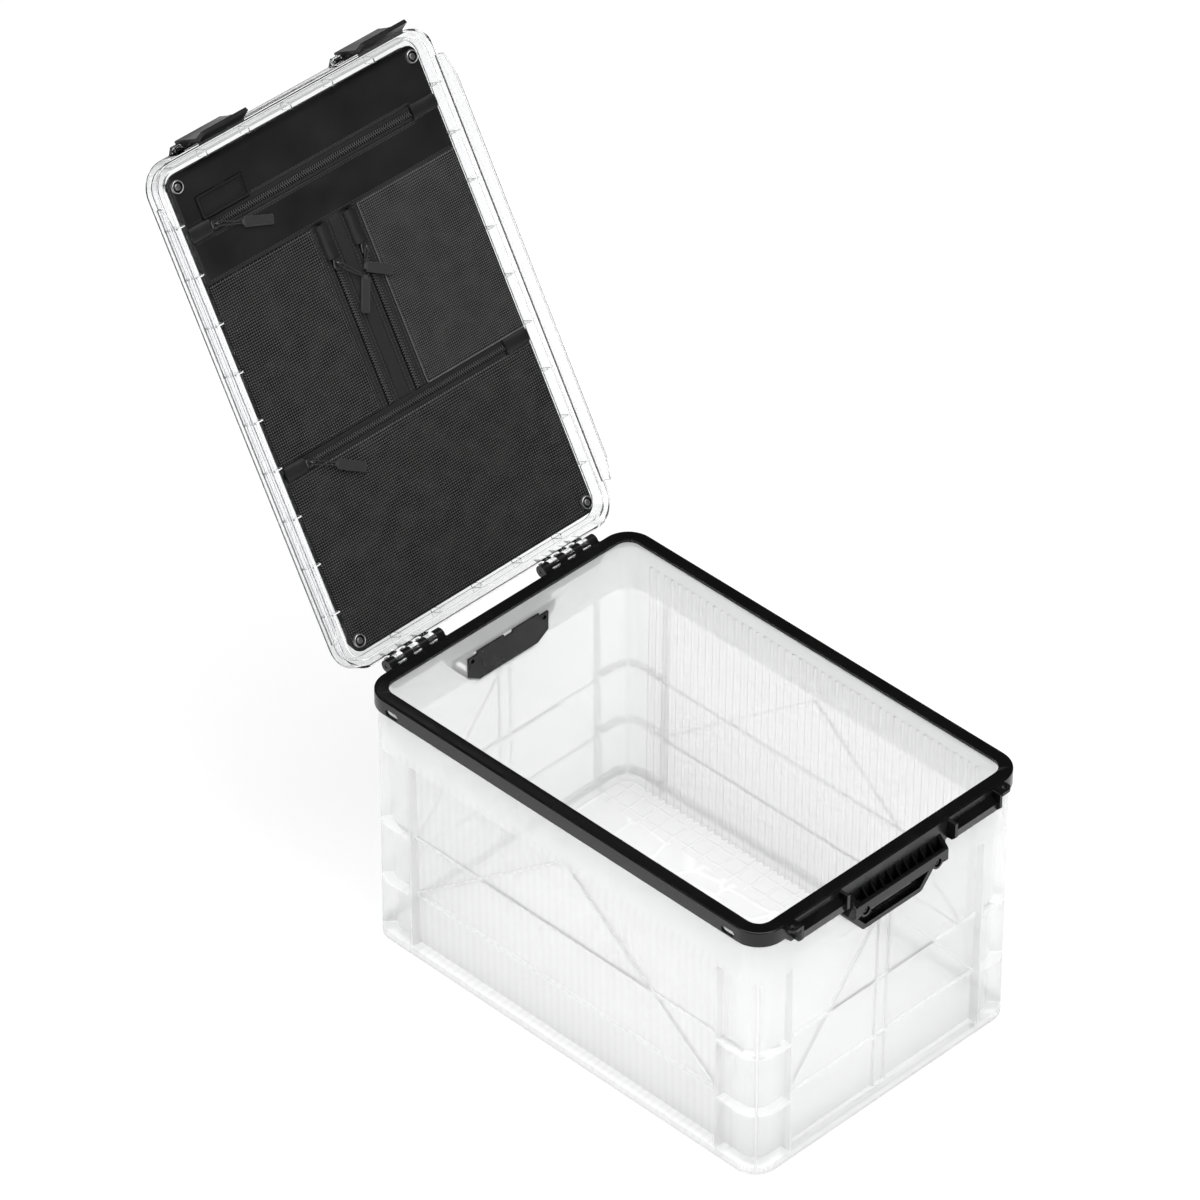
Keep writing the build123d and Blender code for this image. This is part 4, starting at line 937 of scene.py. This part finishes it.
# painted shade: faces inside the bowl take the darker copy of the washer metal
for face in washer.faces:
    middle = face.calc_center_median()
    face.material_index = 1 if math.hypot(middle.x, middle.y) < washerShape["shadedBowl"] else 0
head = screwHead(screwShape["head"], screwShape["height"])
shank = bmesh.new()
bmesh.ops.create_cone(shank, cap_ends=True, segments=24, radius1=screwShape["shankTip"], radius2=screwShape["shank"],
                      depth=screwShape["shankLength"])
for x in (-boardScrews["x"], boardScrews["x"]):
    for y in (-boardScrews["y"], boardScrews["y"]):
        joinInto(washerSet, washer, Matrix.Translation((x, y, washerShape["seat"])))
        joinInto(screwSet, head, Matrix.Translation((x, y, screwShape["seat"]))
                 @ Matrix.Rotation(boardScrews["turn"] + x * y, 4, "Z"))
        joinInto(screwSet, shank, Matrix.Translation((x, y, boardScrews["shankAt"])))
for end, turn in ((-1, math.pi / 2), (1, -math.pi / 2)):
    for x in (-gripScrews["x"], gripScrews["x"]):
        place = Matrix.Translation((x, end * gripScrews["seat"], gripScrews["z"])) @ Matrix.Rotation(turn, 4, "X")
        joinInto(gripSet, head, place @ Matrix.Rotation(gripScrews["turn"] + x * gripScrews["turnRate"], 4, "Z"))
        joinInto(gripSet, shank, place
                 @ Matrix.Translation((0, 0, gripScrews["shankGap"] - gripScrews["shankLength"] / 2))
                 @ Matrix.Diagonal((1, 1, gripScrews["shankLength"] / screwShape["shankLength"], 1)))
for passing in (washer, head, shank):
    passing.free()
makePiece("boardWashers", washerSet, "lid", finish["washer"], ["board_washers"], 30, onLid,
          finish["shadedBowl"])
makePiece("boardScrews", screwSet, "lid", finish["screw"], ["board_screws"], 30, onLid)
makePiece("gripScrews", gripSet, "crate", finish["metal"], ["grip_screws"], 30, Matrix.Scale(mm, 4))
print("crate: screws turned in")

# pairs are what other rays find and what the eye sees
studio = {"floorHalf": 6, "floorDrop": 0.0002, "floorTone": (0.9, 0.27), "floorGlow": (0.12, 0.77),
          "world": (0.05, 1.0),
          "lamps": {"overhead": ((-0.2, -0.3, 3.4), (0, 0, 0), 3.2, 156.0),
                    "leftFill": ((-2.6, 0.6, 1.9), (0, 0, 0.2), 1.2, 26.0),
                    "frontFill": ((-0.3, -3.0, 1.9), (0, 0, 0.2), 1.2, 28.0)}}
floorShape = bmesh.new()
bmesh.ops.create_grid(floorShape, x_segments=1, y_segments=1, size=studio["floorHalf"])
bmesh.ops.translate(floorShape, vec=(0, 0, -studio["floorDrop"]), verts=floorShape.verts)
floorMesh = bpy.data.meshes.new("floor")
floorShape.to_mesh(floorMesh)
floorShape.free()
floor = linkNew("floor", floorMesh)
# the eye sees a floor that is lit evenly, so that shadows on it stay faint; the crate is lit by a plain white one
floorFinish, tree, shader = newFinish("paleFloor", Roughness=0.95, Specular_IOR_Level=0.1, Emission_Color=grey(1))
seen = addNode(tree, "LightPath").outputs["Is Camera Ray"]
tree.links.new(blendTone(tree, seen, *map(grey, studio["floorTone"])), shader.inputs["Base Color"])
tree.links.new(spread(tree, seen, *studio["floorGlow"]), shader.inputs["Emission Strength"])
floorMesh.materials.append(floorFinish)
floor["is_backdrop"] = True

# a pale backdrop for the eye, and a dim room for what the dark pieces mirror
world = bpy.data.worlds.new("studio")
world.use_nodes = True
bpy.context.scene.world = world
backdrop = world.node_tree.nodes["Background"]
direct = addNode(world.node_tree, "LightPath").outputs["Is Camera Ray"]
plug(world.node_tree, spread(world.node_tree, direct, *studio["world"]), backdrop.inputs["Strength"])
backdrop.inputs["Color"].default_value = grey(1)
for name, (place, aim, size, power) in studio["lamps"].items():
    light = bpy.data.lights.new(name, "AREA")
    light.energy = power
    light.size = size
    lamp = linkNew(name, light)
    lamp.location = place
    lamp.rotation_euler = (Vector(aim) - Vector(place)).to_track_quat("-Z", "Y").to_euler()

view = {"lens": 251.11, "sensor": 36.0, "distance": 6.59931, "right": -0.0724, "up": 0.0995, "azimuth": -44.998,
        "elevation": 38.203, "height": 0.251}
azimuth, elevation = math.radians(view["azimuth"]), math.radians(view["elevation"])
back = Vector((math.sin(azimuth) * math.cos(elevation), -math.cos(azimuth) * math.cos(elevation), math.sin(elevation)))
rightward = Vector((math.cos(azimuth), math.sin(azimuth), 0))
upward = back.cross(rightward)
lens = bpy.data.cameras.new("camera")
lens.lens = view["lens"]
lens.sensor_width = view["sensor"]
lens.clip_start, lens.clip_end = 0.1, 60
camera = linkNew("camera", lens)
aimed = Vector((0, 0, view["height"])) + rightward * view["right"] + upward * view["up"]
camera.location = aimed + back * view["distance"]
camera.rotation_euler = Matrix((rightward, upward, back)).transposed().to_euler()
bpy.context.scene.camera = camera
bpy.context.scene.view_settings.view_transform = "Standard"
print("crate: lights and camera set")

low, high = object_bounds()
